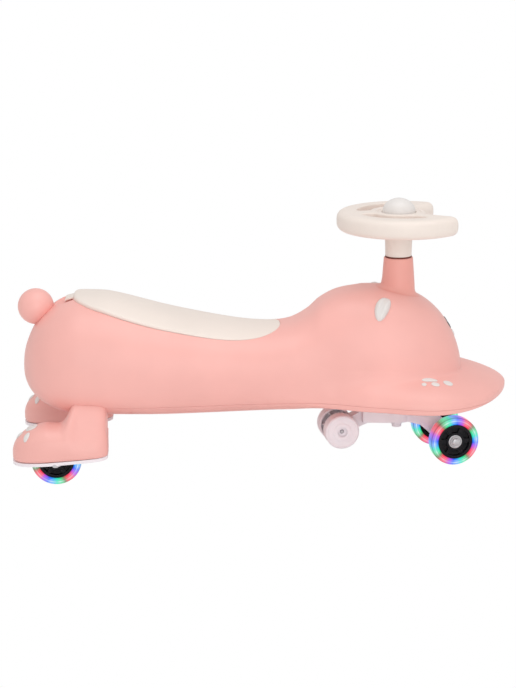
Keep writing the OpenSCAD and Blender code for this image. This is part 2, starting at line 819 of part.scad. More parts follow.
// Foot: half-width along its length, rise of the ankle, and its skin about its own middle plane
function foot_width(x) =
    foot_half * quarter((toe_x - x) / (toe_x + toe_tip), 2.4)
    * (1 - 0.14 * pow(max(0, (x - toe_x) / (-heel_x - toe_x)), 2))
    * quarter(0.97 * (x + heel_x + 37) / 37, 4);
function sole_top(x) = sole_z + sole_t / cos(sole_tilt) + (x + toe_tip) * tan(sole_tilt);
function foot_skin(x, s) =
    let (toe = (toe_x - x) / (toe_x + toe_tip), w = foot_width(x))
    let (ankle = ramp((x - ankle_from) / (ankle_to - ankle_from)))
    let (top = mix(toe_mid, toe_top, quarter(toe, 2)) + (leg_top - toe_top) * ankle)
    let (low = mix(toe_mid, sole_top(x), quarter(toe, 6)))
    let (yz = section_point(s, w, top, low, toe_mid, 8, 2.7))
    [x, yz[0], yz[1]];
// Lean of the leg towards the body, for a point of the foot's skin
function leg_shift(p) =
    leg_lean * ramp((p[0] - ankle_from) / (ankle_to - ankle_from))
    * ramp((p[2] - toe_mid) / (leg_top - toe_mid));
function foot_places() = concat(
    [for (i = [1 : 7]) toe_x - (toe_tip + toe_x) * cos(90 * i / 8)],
    [for (i = [0 : 3]) mix(toe_x, ankle_from, i / 4)],
    [for (i = [0 : 5]) mix(ankle_from, ankle_to, i / 6)],
    [for (i = [0 : 7]) mix(ankle_to, -heel_x, sin(90 * i / 7))]
);
foot_steps = concat([-1, -0.6, -0.3], [for (i = [0 : 12]) i / 12]);
function foot_ring(x) =
    let (side = [for (s = foot_steps) foot_skin(x, s)])
    [for (p = concat(side, [for (i = [len(side) - 2 : -1 : 1]) [x, -side[i][1], side[i][2]]]))
        p - [0, leg_shift(p), 0]];
module foot_place() translate([0, foot_y, 0]) children();
module foot_form() {
    loft([for (x = foot_places()) foot_ring(x)], [-toe_tip, 0, toe_mid], [-heel_x, 0, toe_mid]);
}
// Room for a rear wheel, and for the ends of its axle
module rear_well() {
    rod_y(well_deep, well_wide);
    translate([-well_deep, -well_wide / 2, -wheel_d / 2]) cube([2 * well_deep, well_wide, wheel_d / 2]);
}
module block_room(grow) {
    wide = 2 * (axle_half + grow);
    translate([-block_l / 2 - grow, -wide / 2, -wheel_d / 2])
        cube([block_l + 2 * grow, wide, wheel_d / 2 + block_up + grow]);
}
module head_room() {
    wide = 2 * (axle_half + head_t + pocket_gap);
    translate([-head_r - pocket_gap, -wide / 2, -wheel_d / 2])
        cube([2 * (head_r + pocket_gap), wide, wheel_d / 2 + head_r + pocket_gap]);
}
// Frame of the sole's underside, which climbs from the toes to the heel
module sole_plane() translate([-toe_tip, 0, sole_z]) rotate([0, -sole_tilt, 0]) children();
module foot(left) {
    color(pink)
    left_right(left)
    difference() {
        foot_place() foot_form();
        body_form(-pad_lift, true, -2 * tail_end, -heel_x + 45);
        rear_wheel(true) {
            rear_well();
            block_room(free_gap);
            head_room();
        }
        foot_place() sole_plane() for (p = sole_spots) rise(p, screw_r + fit_gap, 0, sole_t + sole_bite);
        for (p = bolt_spots) rise(p, bolt_r + fit_gap, bolt_seat - bolt_bite - past, leg_top);
    }
}
module foot_left() foot(true);
module foot_right() foot(false);

module sole(left) {
    places = concat([-toe_tip], foot_places());
    edge = [for (x = places) [(x + toe_tip) / cos(sole_tilt), 0.985 * foot_width(x)]];
    color(lilac)
    left_right(left)
    difference() {
        union() {
            foot_place() sole_plane() linear_extrude(sole_t)
                polygon(concat(edge, [for (i = [len(edge) - 1 : -1 : 1]) [edge[i][0], -edge[i][1]]]));
            rear_wheel(true) for (y = [-1, 1]) translate([0, y * (axle_half - block_w / 2), 0]) {
                translate([-block_l / 2, -block_w / 2, 0]) cube([block_l, block_w, block_up]);
                rod_y(lug_r, block_w);
            }
        }
        rear_wheel(true) {
            rear_well();
            rod_y(axle_r + fit_gap, 4 * axle_half);
            for (y = [axle_half, -axle_half - head_t - pocket_gap])
                translate([-head_r - pocket_gap, y, -lug_r])
                    cube([2 * (head_r + pocket_gap), head_t + pocket_gap, 3 * lug_r]);
        }
        foot_place() sole_plane() for (p = sole_spots) {
            rise(p, screw_head_r + head_gap, -past, screw_head_h);
            rise(p, screw_r + fit_gap, 0, sole_t + past);
        }
    }
}
module sole_left() sole(true);
module sole_right() sole(false);
module sole_screws() {
    color(steel)
    for (left = [true, false], p = sole_spots)
        left_right(left) foot_place() sole_plane()
            screw_up(p, screw_head_h, sole_t - screw_head_h + sole_bite - past);
}
module foot_bolts() {
    color(steel)
    for (p = both_sides(bolt_spots)) {
        rise(p, bolt_head_r, bolt_seat, bolt_seat + bolt_head_h);
        rise(p, bolt_r, bolt_seat - bolt_bite, bolt_seat);
    }
}
module toe_pads() {
    marks = [
        [-369, 0, 10, 12, 0],
        [-375, 24, 8, 5.4, 108],
        [-375, -24, 8, 5.4, -108],
        [-388, 0, 7, 5.4, 0]
    ];
    color(white)
    for (left = [true, false], m = marks)
        left_right(left) foot_place() pad(foot_top, m[0], m[1], m[2], m[3], m[4], 2);
}

// Bolt along y with its head on the -y side, and its nut
module axle_bolt(half) {
    rotate([90, 0, 0]) translate([0, 0, -half - head_t - past])
        cylinder(r = axle_r, h = 2 * half + head_t + past);
    rotate([90, 0, 0]) translate([0, 0, half]) cylinder(r = head_r, h = head_t, $fn = 6);
}
module axle_nut(half) {
    rotate([90, 0, 0]) translate([0, 0, -half - head_t])
    difference() {
        cylinder(r = head_r, h = head_t, $fn = 6);
        translate([0, 0, -past]) cylinder(r = axle_r + fit_gap, h = head_t + 2 * past);
    }
}
// Sleeve along y from a to b
module sleeve_y(r, a, b) translate([0, (a + b) / 2, 0]) tube_y(r, axle_r + fit_gap, b - a);

module rear_axle(left) color(steel) rear_wheel(left) mirror([0, left ? 1 : 0, 0]) axle_bolt(axle_half);
module rear_axle_left() rear_axle(true);
module rear_axle_right() rear_axle(false);
module rear_nuts() {
    color(steel)
    for (left = [true, false])
        rear_wheel(left) mirror([0, left ? 1 : 0, 0]) axle_nut(axle_half);
}
magnet_half = core_w / 2 - bearing_w - end_gap;
module rear_spacers() {
    color(steel)
    for (left = [true, false]) rear_wheel(left) {
        sleeve_y(spacer_r, core_w / 2 + end_gap, well_wide / 2);
        sleeve_y(spacer_r, -well_wide / 2, -core_w / 2 - end_gap);
        sleeve_y(bearing_r - 3, -magnet_half, magnet_half);
    }
}

module seat_lid() {
    places = seat_places(0);
    color(cream) {
        sheet(
            [for (x = places) x < tab_x
                ? over_top(x, seat_width(x, 0), rest_gap - tab_thick, tab_thick / 2)
                : over_top(x, seat_width(x, 0), -seat_rise(x), edge_roll + seat_rise(x))],
            [for (x = places) over_top(x, seat_width(x, 0), x < tab_x ? rest_gap : seat_thick)]
        );
        for (left = [true, false]) left_right(left) seat_rail(rail_y, rail_y - rail_wall);
    }
}

module steering_shaft() {
    color(steel)
    steer() rotate_extrude() polygon([
        [0, yoke_z - nut_h + past],
        [stud_r, yoke_z - nut_h + past],
        [stud_r, shaft_foot],
        [shaft_r, shaft_foot],
        [shaft_r, well_floor - floor_t],
        [stud_r, well_floor - floor_t],
        [stud_r, well_floor + nut_h + past],
        [0, well_floor + nut_h + past]
    ]);
}
module thrust_washer()
    color(black) steer() translate([0, 0, yoke_top]) tube(flange_r, shaft_r + fit_gap, washer_t);
module collar() {
    color(cream)
    steer() rotate_extrude() polygon([
        [shaft_r + fit_gap, collar_z],
        [collar_r - collar_draft, collar_z],
        [collar_r, hub_low],
        [shaft_r + fit_gap, hub_low]
    ]);
}

function polar(r, a) = [r * cos(a), r * sin(a)];
// Points along an arc; the last one is left out where the next arc starts on it
function arc_points(at, r, from, to, n, open = 1) =
    [for (i = [0 : n - open]) at + polar(r, mix(from, to, i / n))];
// Outline of the steering wheel, drawn in by d: a disc with an open mouth towards the front
function wheel_outline(d) =
    let (big = rim_r + grip_w / 2)
    let (tip_at = mouth_angle + asin(tip_round / (big - tip_round)))
    let (bay_at = mouth_angle - asin(bay_round / (mouth_floor + bay_round)))
    let (tip = big - tip_round, bay = mouth_floor + bay_round)
    concat(
        arc_points([0, 0], big - d, tip_at, 360 - tip_at, 48),
        arc_points(polar(tip, -tip_at), tip_round - d, -tip_at, 90 - mouth_angle, 7, 0),
        arc_points(polar(bay, -bay_at), bay_round + d, -90 - mouth_angle, -180 - bay_at, 6),
        arc_points([0, 0], mouth_floor - d, -bay_at, bay_at, 10),
        arc_points(polar(bay, bay_at), bay_round + d, 180 + bay_at, 90 + mouth_angle, 6, 0),
        arc_points(polar(tip, tip_at), tip_round - d, mouth_angle - 90, tip_at, 7)
    );
// The whole wheel without its slots: outlines stacked up, with rounded edges below and above
module wheel_blank() {
    flat = grip_h / 2 - grip_round;
    rings = [for (side = [-1, 1], i = [0 : 4]) let (a = 22.5 * (side < 0 ? i - 4 : i))
        let (z = rim_z + side * flat + grip_round * sin(a))
        [for (p = wheel_outline(grip_round * (1 - cos(a)))) [p[0] + wheel_ahead, p[1], z]]];
    back = -grip_round - wheel_ahead;
    loft(rings, [back, 0, rim_z - grip_h / 2], [back, 0, rim_z + grip_h / 2]);
}
// Long curved slots for the fingers, between the rim, the rear spoke and the tips
module finger_slots() {
    for (left = [true, false]) left_right(left)
        translate([0, 0, rim_z - grip_h]) linear_extrude(2 * grip_h)
        offset(r = slot_round) offset(delta = -slot_round) difference() {
            translate([wheel_ahead, 0]) circle(r = rim_r - grip_w / 2);
            circle(r = slot_r);
            translate([-2 * rim_r, spoke_w / 2 - 2 * rim_r]) square([4 * rim_r, 2 * rim_r]);
            translate([wheel_ahead, 0]) rotate(mouth_angle)
                translate([-2 * rim_r, tip_w - 4 * rim_r]) square(4 * rim_r);
        }
}
module steering_wheel() {
    color(cream)
    steer() difference() {
        wheel_blank();
        finger_slots();
        rise([0, 0], hub_r + fit_gap, ring_z, hub_top + grip_h);
        rise([0, 0], well_r, well_floor, hub_top + grip_h);
        rise([0, 0], stud_r + fit_gap, well_floor - floor_t - past, well_floor + past);
        rise([0, 0], shaft_r + fit_gap, hub_low - grip_h, well_floor - floor_t);
        rise([0, 0], collar_r + free_gap, hub_low - grip_h, hub_low);
    }
}
module button_ring()
    color(cream) steer() translate([0, 0, ring_z]) tube(hub_r, button_r + free_gap, button_ring_t);
module wheel_nut() {
    color(steel)
    steer() translate([0, 0, well_floor])
    difference() {
        cylinder(r = nut_r, h = nut_h, $fn = 6);
        translate([0, 0, -past]) cylinder(r = stud_r + fit_gap, h = nut_h + 2 * past);
    }
}

function dome(r, h) = [for (i = [0 : 8]) [r * cos(11.25 * i), hub_top + h * sin(11.25 * i)]];
module horn_button() {
    inner = dome(button_r - button_wall, button_h - button_wall);
    color(white)
    steer() {
        rotate_extrude() polygon(concat(
            [[button_r - button_wall, lip_top - button_lip]],
            [[well_r - free_gap, lip_top - button_lip]],
            [[well_r - free_gap, lip_top]],
            [[button_r, lip_top]],
            dome(button_r, button_h),
            [for (i = [8 : -1 : 0]) inner[i]]
        ));
        translate([0, 0, spring_top])
            tube(spring_r + spring_seat_w, spring_r - spring_seat_w, button_h - button_wall - 8);
    }
}
module horn_spring() {
    per_turn = 10;
    steps = spring_turns * per_turn;
    low = well_floor + spring_wire;
    high = spring_top - spring_wire;
    rings = [for (i = [0 : steps])
        let (a = 360 * i / per_turn, z = mix(low, high, i / steps))
        [for (k = [0 : 5]) let (r = spring_r + spring_wire * sin(60 * k))
            [r * cos(a), r * sin(a), z + spring_wire * cos(60 * k)]]];
    color(steel)
    steer() loft(rings, [spring_r, 0, low], [spring_r * cos(360 * spring_turns), 0, high]);
}

module yoke() {
    front_top = wheel_d / 2 + crossbar_r;
    front_low = wheel_d / 2 - crossbar_r;
    color(lilac)
    steer() difference() {
        union() {
            rise([0, 0], yoke_w / 2 + 3, yoke_z, yoke_top);
            along_y(yoke_w) polygon([
                [-62, yoke_z + 3],
                [-20, yoke_z],
                [14, yoke_z],
                [34, yoke_z - 6],
                [front_reach - 30, front_low + 16],
                [front_reach - 4, front_low + 1],
                [front_reach + 4, front_top - 1],
                [48, yoke_top - 6],
                [-62, yoke_top - 6]
            ]);
            along_y(2 * tongue_half) polygon([
                [-40, yoke_z + 3],
                [-40, yoke_top - 6],
                [-roller_reach + 4, roller_z + tongue_r - 1],
                [-roller_reach, roller_z - tongue_r]
            ]);
            translate([-roller_reach, 0, roller_z]) rod_y(tongue_r, 2 * tongue_half);
            translate([front_reach, 0, wheel_d / 2]) rod_y(crossbar_r, 2 * crossbar_half);
        }
        rise([0, 0], shaft_r + fit_gap, shaft_foot, yoke_top + past);
        rise([0, 0], stud_r + fit_gap, yoke_z - 2 * past, shaft_foot + past);
        translate([-roller_reach, 0, roller_z]) rod_y(axle_r + fit_gap, roller_track);
        translate([front_reach, 0, wheel_d / 2]) rod_y(axle_r + fit_gap, front_track);
    }
}
module cap_nut() {
    color(steel)
    steer() difference() {
        union() {
            translate([0, 0, yoke_z - nut_h]) cylinder(r = nut_r, h = nut_h, $fn = 6);
            translate([0, 0, yoke_z - nut_h - cap_h]) cylinder(r = nut_r - 2, h = cap_h + past);
        }
        rise([0, 0], stud_r + fit_gap, yoke_z - nut_h, yoke_z + past);
    }
}

front_half = front_track / 2 + core_w / 2 + end_gap;
roller_half = (roller_track + roller_w) / 2 - roller_sink + end_gap;
module front_axle() color(steel) steer() translate([front_reach, 0, wheel_d / 2]) axle_bolt(front_half);
module roller_axle() color(steel) steer() translate([-roller_reach, 0, roller_z]) axle_bolt(roller_half);
module yoke_nuts() {
    color(steel)
    steer() {
        translate([front_reach, 0, wheel_d / 2]) axle_nut(front_half);
        translate([-roller_reach, 0, roller_z]) axle_nut(roller_half);
    }
}
module yoke_spacers() {
    color(steel)
    steer() for (side = [0, 180]) {
        translate([front_reach, 0, wheel_d / 2]) rotate([0, 0, side]) {
            sleeve_y(spacer_r, crossbar_half, (front_track - core_w) / 2 - end_gap);
            sleeve_y(bearing_r - 3, front_track / 2 - magnet_half, front_track / 2 + magnet_half);
        }
        translate([-roller_reach, 0, roller_z]) rotate([0, 0, side])
            sleeve_y(spacer_r, tongue_half, (roller_track - roller_w) / 2 - end_gap);
    }
}

module roller(left) {
    rim = roller_d / 2;
    color(lilac)
    roller_place(left) mirror([0, left ? 1 : 0, 0]) rotate([90, 0, 0]) {
        rotate_extrude() polygon([
            [axle_r + run_gap, -roller_w / 2],
            [roller_hub_r, -roller_w / 2],
            [roller_hub_r, roller_w / 2 - 4],
            [rim - roller_wall, roller_w / 2 - 4],
            [rim - roller_wall, -roller_w / 2],
            [rim - 1, -roller_w / 2],
            [rim, 1 - roller_w / 2],
            [rim, roller_w / 2 - 2],
            [rim - 2, roller_w / 2],
            [rim - 3.5, roller_w / 2],
            [rim - 4.5, roller_w / 2 - 1],
            [15, roller_w / 2 - 1],
            [14, roller_w / 2],
            [head_r + pocket_gap, roller_w / 2],
            [head_r + pocket_gap, roller_w / 2 - roller_sink],
            [axle_r + run_gap, roller_w / 2 - roller_sink]
        ]);
        for (i = [0 : roller_ribs - 1]) rotate([0, 0, 360 * i / roller_ribs])
            translate([roller_hub_r - past, -1, 3 - roller_w / 2])
                cube([rim - roller_wall - roller_hub_r + 1.5 * past, 2, roller_w - 6]);
    }
}
module roller_left() roller(true);
module roller_right() roller(false);

// Wheel pieces about their own middle, axle along y
module tyre() {
    color([0.93, 0.95, 0.97])
    rotate([90, 0, 0]) rotate_extrude() {
        translate([core_r + fit_gap, -tyre_w / 2])
            square([wheel_d / 2 - core_r - fit_gap - tyre_round, tyre_w]);
        translate([wheel_d / 2 - 2 * tyre_round, tyre_round - tyre_w / 2])
            square([2 * tyre_round, tyre_w - 2 * tyre_round]);
        for (y = [-1, 1])
            translate([wheel_d / 2 - tyre_round, y * (tyre_w / 2 - tyre_round)]) circle(tyre_round);
    }
}
module light_spots() for (i = [0 : spokes - 1]) rotate([0, 360 * (i + 0.5) / spokes, 0]) children();
module core() {
    hub = bearing_r + core_hub_wall;
    color(black)
    difference() {
        union() {
            tube_y(core_r, core_r - rim_wall, core_w);
            tube_y(hub, bearing_r - 1.5, core_w);
            tube_y(core_r - rim_wall / 2, hub - past, web_t);
            for (i = [0 : spokes - 1]) rotate([0, 360 * i / spokes, 0])
                translate([hub - past, -core_w / 2 + 3, -3.5])
                    cube([core_r - rim_wall - hub + 2 * past, core_w - 6, 7]);
        }
        for (y = [-1, 1]) translate([0, y * (core_w - bearing_w + past) / 2, 0])
            rod_y(bearing_r + fit_gap, bearing_w + past);
        light_spots() translate([core_r - rim_wall - past, 0, 0]) rotate([0, 90, 0])
            cylinder(r = light_r + fit_gap, h = rim_wall + 2 * past);
    }
}
module lights() {
    color([1, 0.75, 0.85])
    light_spots() translate([core_r - rim_wall - past, 0, 0]) rotate([0, 90, 0])
        cylinder(r = light_r, h = rim_wall + past - free_gap);
}
module bearings() {
    color(steel)
    for (y = [-1, 1]) translate([0, y * (core_w - bearing_w) / 2, 0])
        rotate([90, 0, 0]) rotate_extrude() polygon([
            [axle_r + run_gap, -bearing_w / 2],
            [axle_r + 2.2, -bearing_w / 2],
            [axle_r + 2.4, 0.6 - bearing_w / 2],
            [bearing_r - 2.2, 0.6 - bearing_w / 2],
            [bearing_r - 2, -bearing_w / 2],
            [bearing_r, -bearing_w / 2],
            [bearing_r, bearing_w / 2],
            [bearing_r - 2, bearing_w / 2],
            [bearing_r - 2.2, bearing_w / 2 - 0.6],
            [axle_r + 2.4, bearing_w / 2 - 0.6],
            [axle_r + 2.2, bearing_w / 2],
            [axle_r + run_gap, bearing_w / 2]
        ]);
}
module front_left_tyre() front_wheel(true) tyre();
module front_left_core() front_wheel(true) core();
module front_left_lights() front_wheel(true) lights();
module front_left_bearings() front_wheel(true) bearings();
module front_right_tyre() front_wheel(false) tyre();
module front_right_core() front_wheel(false) core();
module front_right_lights() front_wheel(false) lights();
module front_right_bearings() front_wheel(false) bearings();
module rear_left_tyre() rear_wheel(true) tyre();
module rear_left_core() rear_wheel(true) core();
module rear_left_lights() rear_wheel(true) lights();
module rear_left_bearings() rear_wheel(true) bearings();
module rear_right_tyre() rear_wheel(false) tyre();
module rear_right_core() rear_wheel(false) core();
module rear_right_lights() rear_wheel(false) lights();
module rear_right_bearings() rear_wheel(false) bearings();

upper_shell();
base_pan();
neck_sleeve();
storage_tub();
tail_ball();
tail_screw();
ear_left();
ear_right();
eyes();
muzzle();
paw_prints();
upper_bush();
lower_bush();
pan_screws();
foot_left();
foot_right();
sole_left();
sole_right();
toe_pads();
rear_axle_left();
rear_axle_right();
rear_nuts();
rear_spacers();
sole_screws();
foot_bolts();
seat_lid();
steering_shaft();
thrust_washer();
collar();
steering_wheel();
button_ring();
wheel_nut();
horn_button();
horn_spring();
yoke();
cap_nut();
front_axle();
roller_axle();
yoke_nuts();
yoke_spacers();
roller_left();
roller_right();
front_left_tyre();
front_left_core();
front_left_lights();
front_left_bearings();
front_right_tyre();
front_right_core();
front_right_lights();
front_right_bearings();
rear_left_tyre();
rear_left_core();
rear_left_lights();
rear_left_bearings();
rear_right_tyre();
rear_right_core();
rear_right_lights();
rear_right_bearings();
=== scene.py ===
import json
import math

import bmesh
import bpy
from mathutils import Matrix, Vector


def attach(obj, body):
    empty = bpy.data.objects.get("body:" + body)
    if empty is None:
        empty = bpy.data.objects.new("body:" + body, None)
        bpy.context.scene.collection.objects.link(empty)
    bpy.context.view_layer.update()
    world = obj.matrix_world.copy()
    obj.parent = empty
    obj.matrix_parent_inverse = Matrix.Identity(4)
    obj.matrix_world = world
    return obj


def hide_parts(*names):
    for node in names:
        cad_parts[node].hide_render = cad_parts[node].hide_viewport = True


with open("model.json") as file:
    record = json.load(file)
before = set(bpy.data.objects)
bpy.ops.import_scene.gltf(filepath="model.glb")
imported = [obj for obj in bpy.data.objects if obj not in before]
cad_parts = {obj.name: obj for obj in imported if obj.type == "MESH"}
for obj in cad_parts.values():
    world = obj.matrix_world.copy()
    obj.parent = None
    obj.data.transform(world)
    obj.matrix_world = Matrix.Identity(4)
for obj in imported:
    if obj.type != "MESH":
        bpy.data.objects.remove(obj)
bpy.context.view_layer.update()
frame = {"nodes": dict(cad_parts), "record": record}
nodes = frame["nodes"]
scene = bpy.context.scene
mm = 0.001


def mix(a, b, t):
    return a + (b - a) * t


def quarter(v, n):
    return 0.0 if v >= 1 else (1 - max(v, 0.0) ** n) ** (1 / n)


def ramp(u):
    c = max(0.0, min(1.0, u))
    return c * c * (3 - 2 * c)


def blend(a, b, r):
    return (a + b + math.sqrt((a - b) * (a - b) + r * r)) / 2


# Value at x of a smooth curve through the (x, value) pairs of a table
def along(table, x):
    i = 0
    while i < len(table) - 2 and x >= table[i + 1][0]:
        i += 1

    def slope(k):
        a, b = max(k - 1, 0), min(k + 1, len(table) - 1)
        return (table[b][1] - table[a][1]) / (table[b][0] - table[a][0])

    d = table[i + 1][0] - table[i][0]
    u = max(0.0, min(1.0, (x - table[i][0]) / d))
    m, k = slope(i) * d, slope(i + 1) * d
    return (table[i][1] * (1 + 2 * u) * (1 - u) ** 2 + m * u * (1 - u) ** 2
            + table[i + 1][1] * u * u * (3 - 2 * u) + k * u * u * (u - 1))


# Camera at the photograph's place
view = {
    "at": (-113.5, -2824.2, 897.1), "yaw": -2.16, "pitch": 13.94, "roll": 0.43,
    "focal": 1786.8, "high": 688, "sensor": 36,
}
yaw, pitch, roll = (math.radians(view[k]) for k in ("yaw", "pitch", "roll"))
forward = Vector((-math.sin(yaw) * math.cos(pitch), math.cos(yaw) * math.cos(pitch),
                  -math.sin(pitch)))
level = Vector((math.cos(yaw), math.sin(yaw), 0))
below = forward.cross(level)
right = math.cos(roll) * level + math.sin(roll) * below
down = -math.sin(roll) * level + math.cos(roll) * below
cameraData = bpy.data.cameras.new("camera")
cameraData.sensor_fit = "AUTO"
cameraData.sensor_width = view["sensor"]
cameraData.lens = view["sensor"] * view["focal"] / view["high"]
cameraData.clip_end = 50
camera = bpy.data.objects.new("camera", cameraData)
scene.collection.objects.link(camera)
turn = Matrix((right, -down, -forward)).transposed()
camera.matrix_world = Matrix.Translation(Vector(view["at"]) * mm) @ turn.to_4x4()
scene.camera = camera
print("camera")


# Materials
def material(name, colour, rough, coat=0.0, metal=0.0):
    mat = bpy.data.materials.new(name)
    mat.use_nodes = True
    shader = mat.node_tree.nodes["Principled BSDF"]
    shader.inputs["Base Color"].default_value = (*colour, 1)
    shader.inputs["Roughness"].default_value = rough
    shader.inputs["Coat Weight"].default_value = coat
    shader.inputs["Coat Roughness"].default_value = 0.25
    shader.inputs["Metallic"].default_value = metal
    return mat, mat.node_tree, shader


def noise(tree, scale, detail=2.0, stretch=None):
    place = tree.nodes.new("ShaderNodeTexCoord")
    tex = tree.nodes.new("ShaderNodeTexNoise")
    tex.inputs["Scale"].default_value = scale
    tex.inputs["Detail"].default_value = detail
    if stretch:
        fit = tree.nodes.new("ShaderNodeMapping")
        fit.inputs["Scale"].default_value = stretch
        tree.links.new(place.outputs["Object"], fit.inputs["Vector"])
        tree.links.new(fit.outputs["Vector"], tex.inputs["Vector"])
    else:
        tree.links.new(place.outputs["Object"], tex.inputs["Vector"])
    return tex


def bands(tree, source, stops):
    tone = tree.nodes.new("ShaderNodeValToRGB")
    while len(tone.color_ramp.elements) < len(stops):
        tone.color_ramp.elements.new(0.5)
    for element, (at, colour) in zip(tone.color_ramp.elements, stops):
        element.position = at
        element.color = (*colour, 1)
    tree.links.new(source, tone.inputs["Fac"])
    return tone


def unevenShine(tree, shader, tex, low, high):
    shine = tree.nodes.new("ShaderNodeMapRange")
    shine.inputs["To Min"].default_value = low
    shine.inputs["To Max"].default_value = high
    tree.links.new(tex.outputs["Fac"], shine.inputs["Value"])
    tree.links.new(shine.outputs["Result"], shader.inputs["Roughness"])


plastic = {"clouds": 9.0, "specks": 900.0, "shinier": 0.05, "duller": 0.07, "bump": 0.18,
           "grain": 0.00012}
brushed = {"scale": 420.0, "stretch": (1.0, 6.0, 1.0), "shinier": 0.08, "duller": 0.14,
           "shade": 0.85}


def moulded(name, colour, rough, spread=0.035, coat=0.12, gloss=0.5):
    mat, tree, shader = material(name, colour, rough, coat)
    shader.inputs["Specular IOR Level"].default_value = gloss
    cloud = noise(tree, plastic["clouds"], 3.0)
    low = tuple(c * (1 - spread) for c in colour)
    high = tuple(min(1.0, c * (1 + spread)) for c in colour)
    tone = bands(tree, cloud.outputs["Fac"], [(0.32, low), (0.68, high)])
    tree.links.new(tone.outputs["Color"], shader.inputs["Base Color"])
    speck = noise(tree, plastic["specks"], 2.0)
    unevenShine(tree, shader, speck, rough - plastic["shinier"], rough + plastic["duller"])
    bump = tree.nodes.new("ShaderNodeBump")
    bump.inputs["Strength"].default_value = plastic["bump"]
    bump.inputs["Distance"].default_value = plastic["grain"]
    tree.links.new(speck.outputs["Fac"], bump.inputs["Height"])
    tree.links.new(bump.outputs["Normal"], shader.inputs["Normal"])
    return mat


def metal(name, colour, rough):
    mat, tree, shader = material(name, colour, rough, 0.0, 1.0)
    brush = noise(tree, brushed["scale"], 3.0, brushed["stretch"])
    unevenShine(tree, shader, brush, rough - brushed["shinier"], rough + brushed["duller"])
    low = tuple(c * brushed["shade"] for c in colour)
    tone = bands(tree, brush.outputs["Fac"], [(0.3, low), (0.7, colour)])
    tree.links.new(tone.outputs["Color"], shader.inputs["Base Color"])
    return mat


looks = {
    "pink": moulded("pinkPlastic", (0.91, 0.465, 0.42), 0.42),
    "deep_pink": moulded("neckPlastic", (0.88, 0.40, 0.345), 0.44),
    # Neck pink is darker than the body pink: partly the sleeve's own tone, partly painted shade
    # cast by the steering wheel above
    "cream": moulded("creamPlastic", (0.86, 0.765, 0.70), 0.45, 0.02),
    "white": moulded("whitePlastic", (0.785, 0.75, 0.73), 0.36, 0.02),
    "lilac": moulded("lilacPlastic", (0.90, 0.84, 0.88), 0.42, 0.02),
    "grey": moulded("greyPlastic", (0.50, 0.48, 0.47), 0.55, 0.03),
    "dark": moulded("darkPlastic", (0.05, 0.042, 0.042), 0.4, 0.1),
    # Bush lip is painted dark red-brown as painted shade, so that it reads as a shadowed gap ring
    # under the collar
    "bush": moulded("bushPlastic", (0.16, 0.045, 0.035), 0.5, 0.06, coat=0.0, gloss=0.2),
    "core": moulded("corePlastic", (0.006, 0.006, 0.009), 0.36, 0.2, coat=0.0, gloss=0.2),
    "steel": metal("zincSteel", (0.62, 0.62, 0.64), 0.32),
}

# The glowing tyre: "hue" and "spot" run round a quarter turn, "ring" and "rim" from bore to tread
tyreGlow = {
    "laps": 4.0, "wobble": 0.03, "pale": (0.80, 0.96, 1.0, 1),
    "hue": [(0.0, (0.0, 0.10, 1.0)), (0.12, (0.0, 0.33, 1.0)), (0.24, (0.0, 0.80, 0.55)),
            (0.38, (0.005, 0.72, 0.22)), (0.50, (0.22, 0.22, 0.10)), (0.60, (1.0, 0.02, 0.06)),
            (0.74, (1.0, 0.06, 0.16)), (0.87, (0.45, 0.06, 0.85)), (1.0, (0.0, 0.10, 1.0))],
    "spot": [(0.0, 0.5), (0.1, 0.85), (0.24, 0.35), (0.34, 0.8), (0.5, 0.2), (0.68, 0.5),
             (0.85, 0.3), (1.0, 0.5)],
    "ring": [(0.0, 0.0), (0.2, 0.05), (0.3, 0.5), (0.38, 0.1), (0.55, 1.0), (0.72, 0.3),
             (0.86, 0.45), (1.0, 0.3)],
    "rim": [(0.0, 0.5), (0.08, 0.95), (0.84, 1.0), (0.93, 0.5), (1.0, 0.8)],
}


def glowing(name):
    mat, tree, shader = material(name, (0.02, 0.02, 0.03), 0.2)
    shader.inputs["Specular IOR Level"].default_value = 0.2
    place = tree.nodes.new("ShaderNodeUVMap")
    place.uv_map = "wheel"
    split = tree.nodes.new("ShaderNodeSeparateXYZ")
    tree.links.new(place.outputs["UV"], split.inputs["Vector"])

    def sums(how, first, second, third=0.0):
        step = tree.nodes.new("ShaderNodeMath")
        step.operation = how
        for k, value in enumerate((first, second, third)):
            if isinstance(value, float):
                step.inputs[k].default_value = value
            else:
                tree.links.new(value, step.inputs[k])
        return step.outputs["Value"]

    def greys(source, key):
        return bands(tree, source, [(at, (g, g, g)) for at, g in tyreGlow[key]]).outputs["Color"]

    wobble = noise(tree, 70.0, 1.0)
    turned = sums("MULTIPLY_ADD", wobble.outputs["Fac"], tyreGlow["wobble"], split.outputs["X"])
    lap = sums("FRACT", sums("MULTIPLY", turned, tyreGlow["laps"]), 0.0)
    hue = bands(tree, lap, tyreGlow["hue"])
    pale = tree.nodes.new("ShaderNodeMix")
    pale.data_type = "RGBA"
    pale.inputs[7].default_value = tyreGlow["pale"]
    share = sums("MULTIPLY", greys(split.outputs["Y"], "ring"), greys(lap, "spot"))
    tree.links.new(share, pale.inputs[0])
    tree.links.new(hue.outputs["Color"], pale.inputs[6])
    tree.links.new(pale.outputs[2], shader.inputs["Emission Color"])
    tree.links.new(greys(split.outputs["Y"], "rim"), shader.inputs["Emission Strength"])
    return mat


looks["clear_tyre"] = glowing("glowTyre")
lamp, lampTree, lampShader = material("lamp", (0.8, 0.95, 0.9), 0.3)
cell = noise(lampTree, 60.0, 1.0)
flashes = [(0.35, (0.1, 0.5, 1.0)), (0.5, (0.2, 1.0, 0.7)), (0.65, (1.0, 0.25, 0.4))]
flash = bands(lampTree, cell.outputs["Fac"], flashes)
lampTree.links.new(flash.outputs["Color"], lampShader.inputs["Emission Color"])
lampShader.inputs["Emission Strength"].default_value = 1.5
looks["light"] = lamp
print("materials")

# Mesh helpers; forms are worked out in millimetres
crease = 38.0


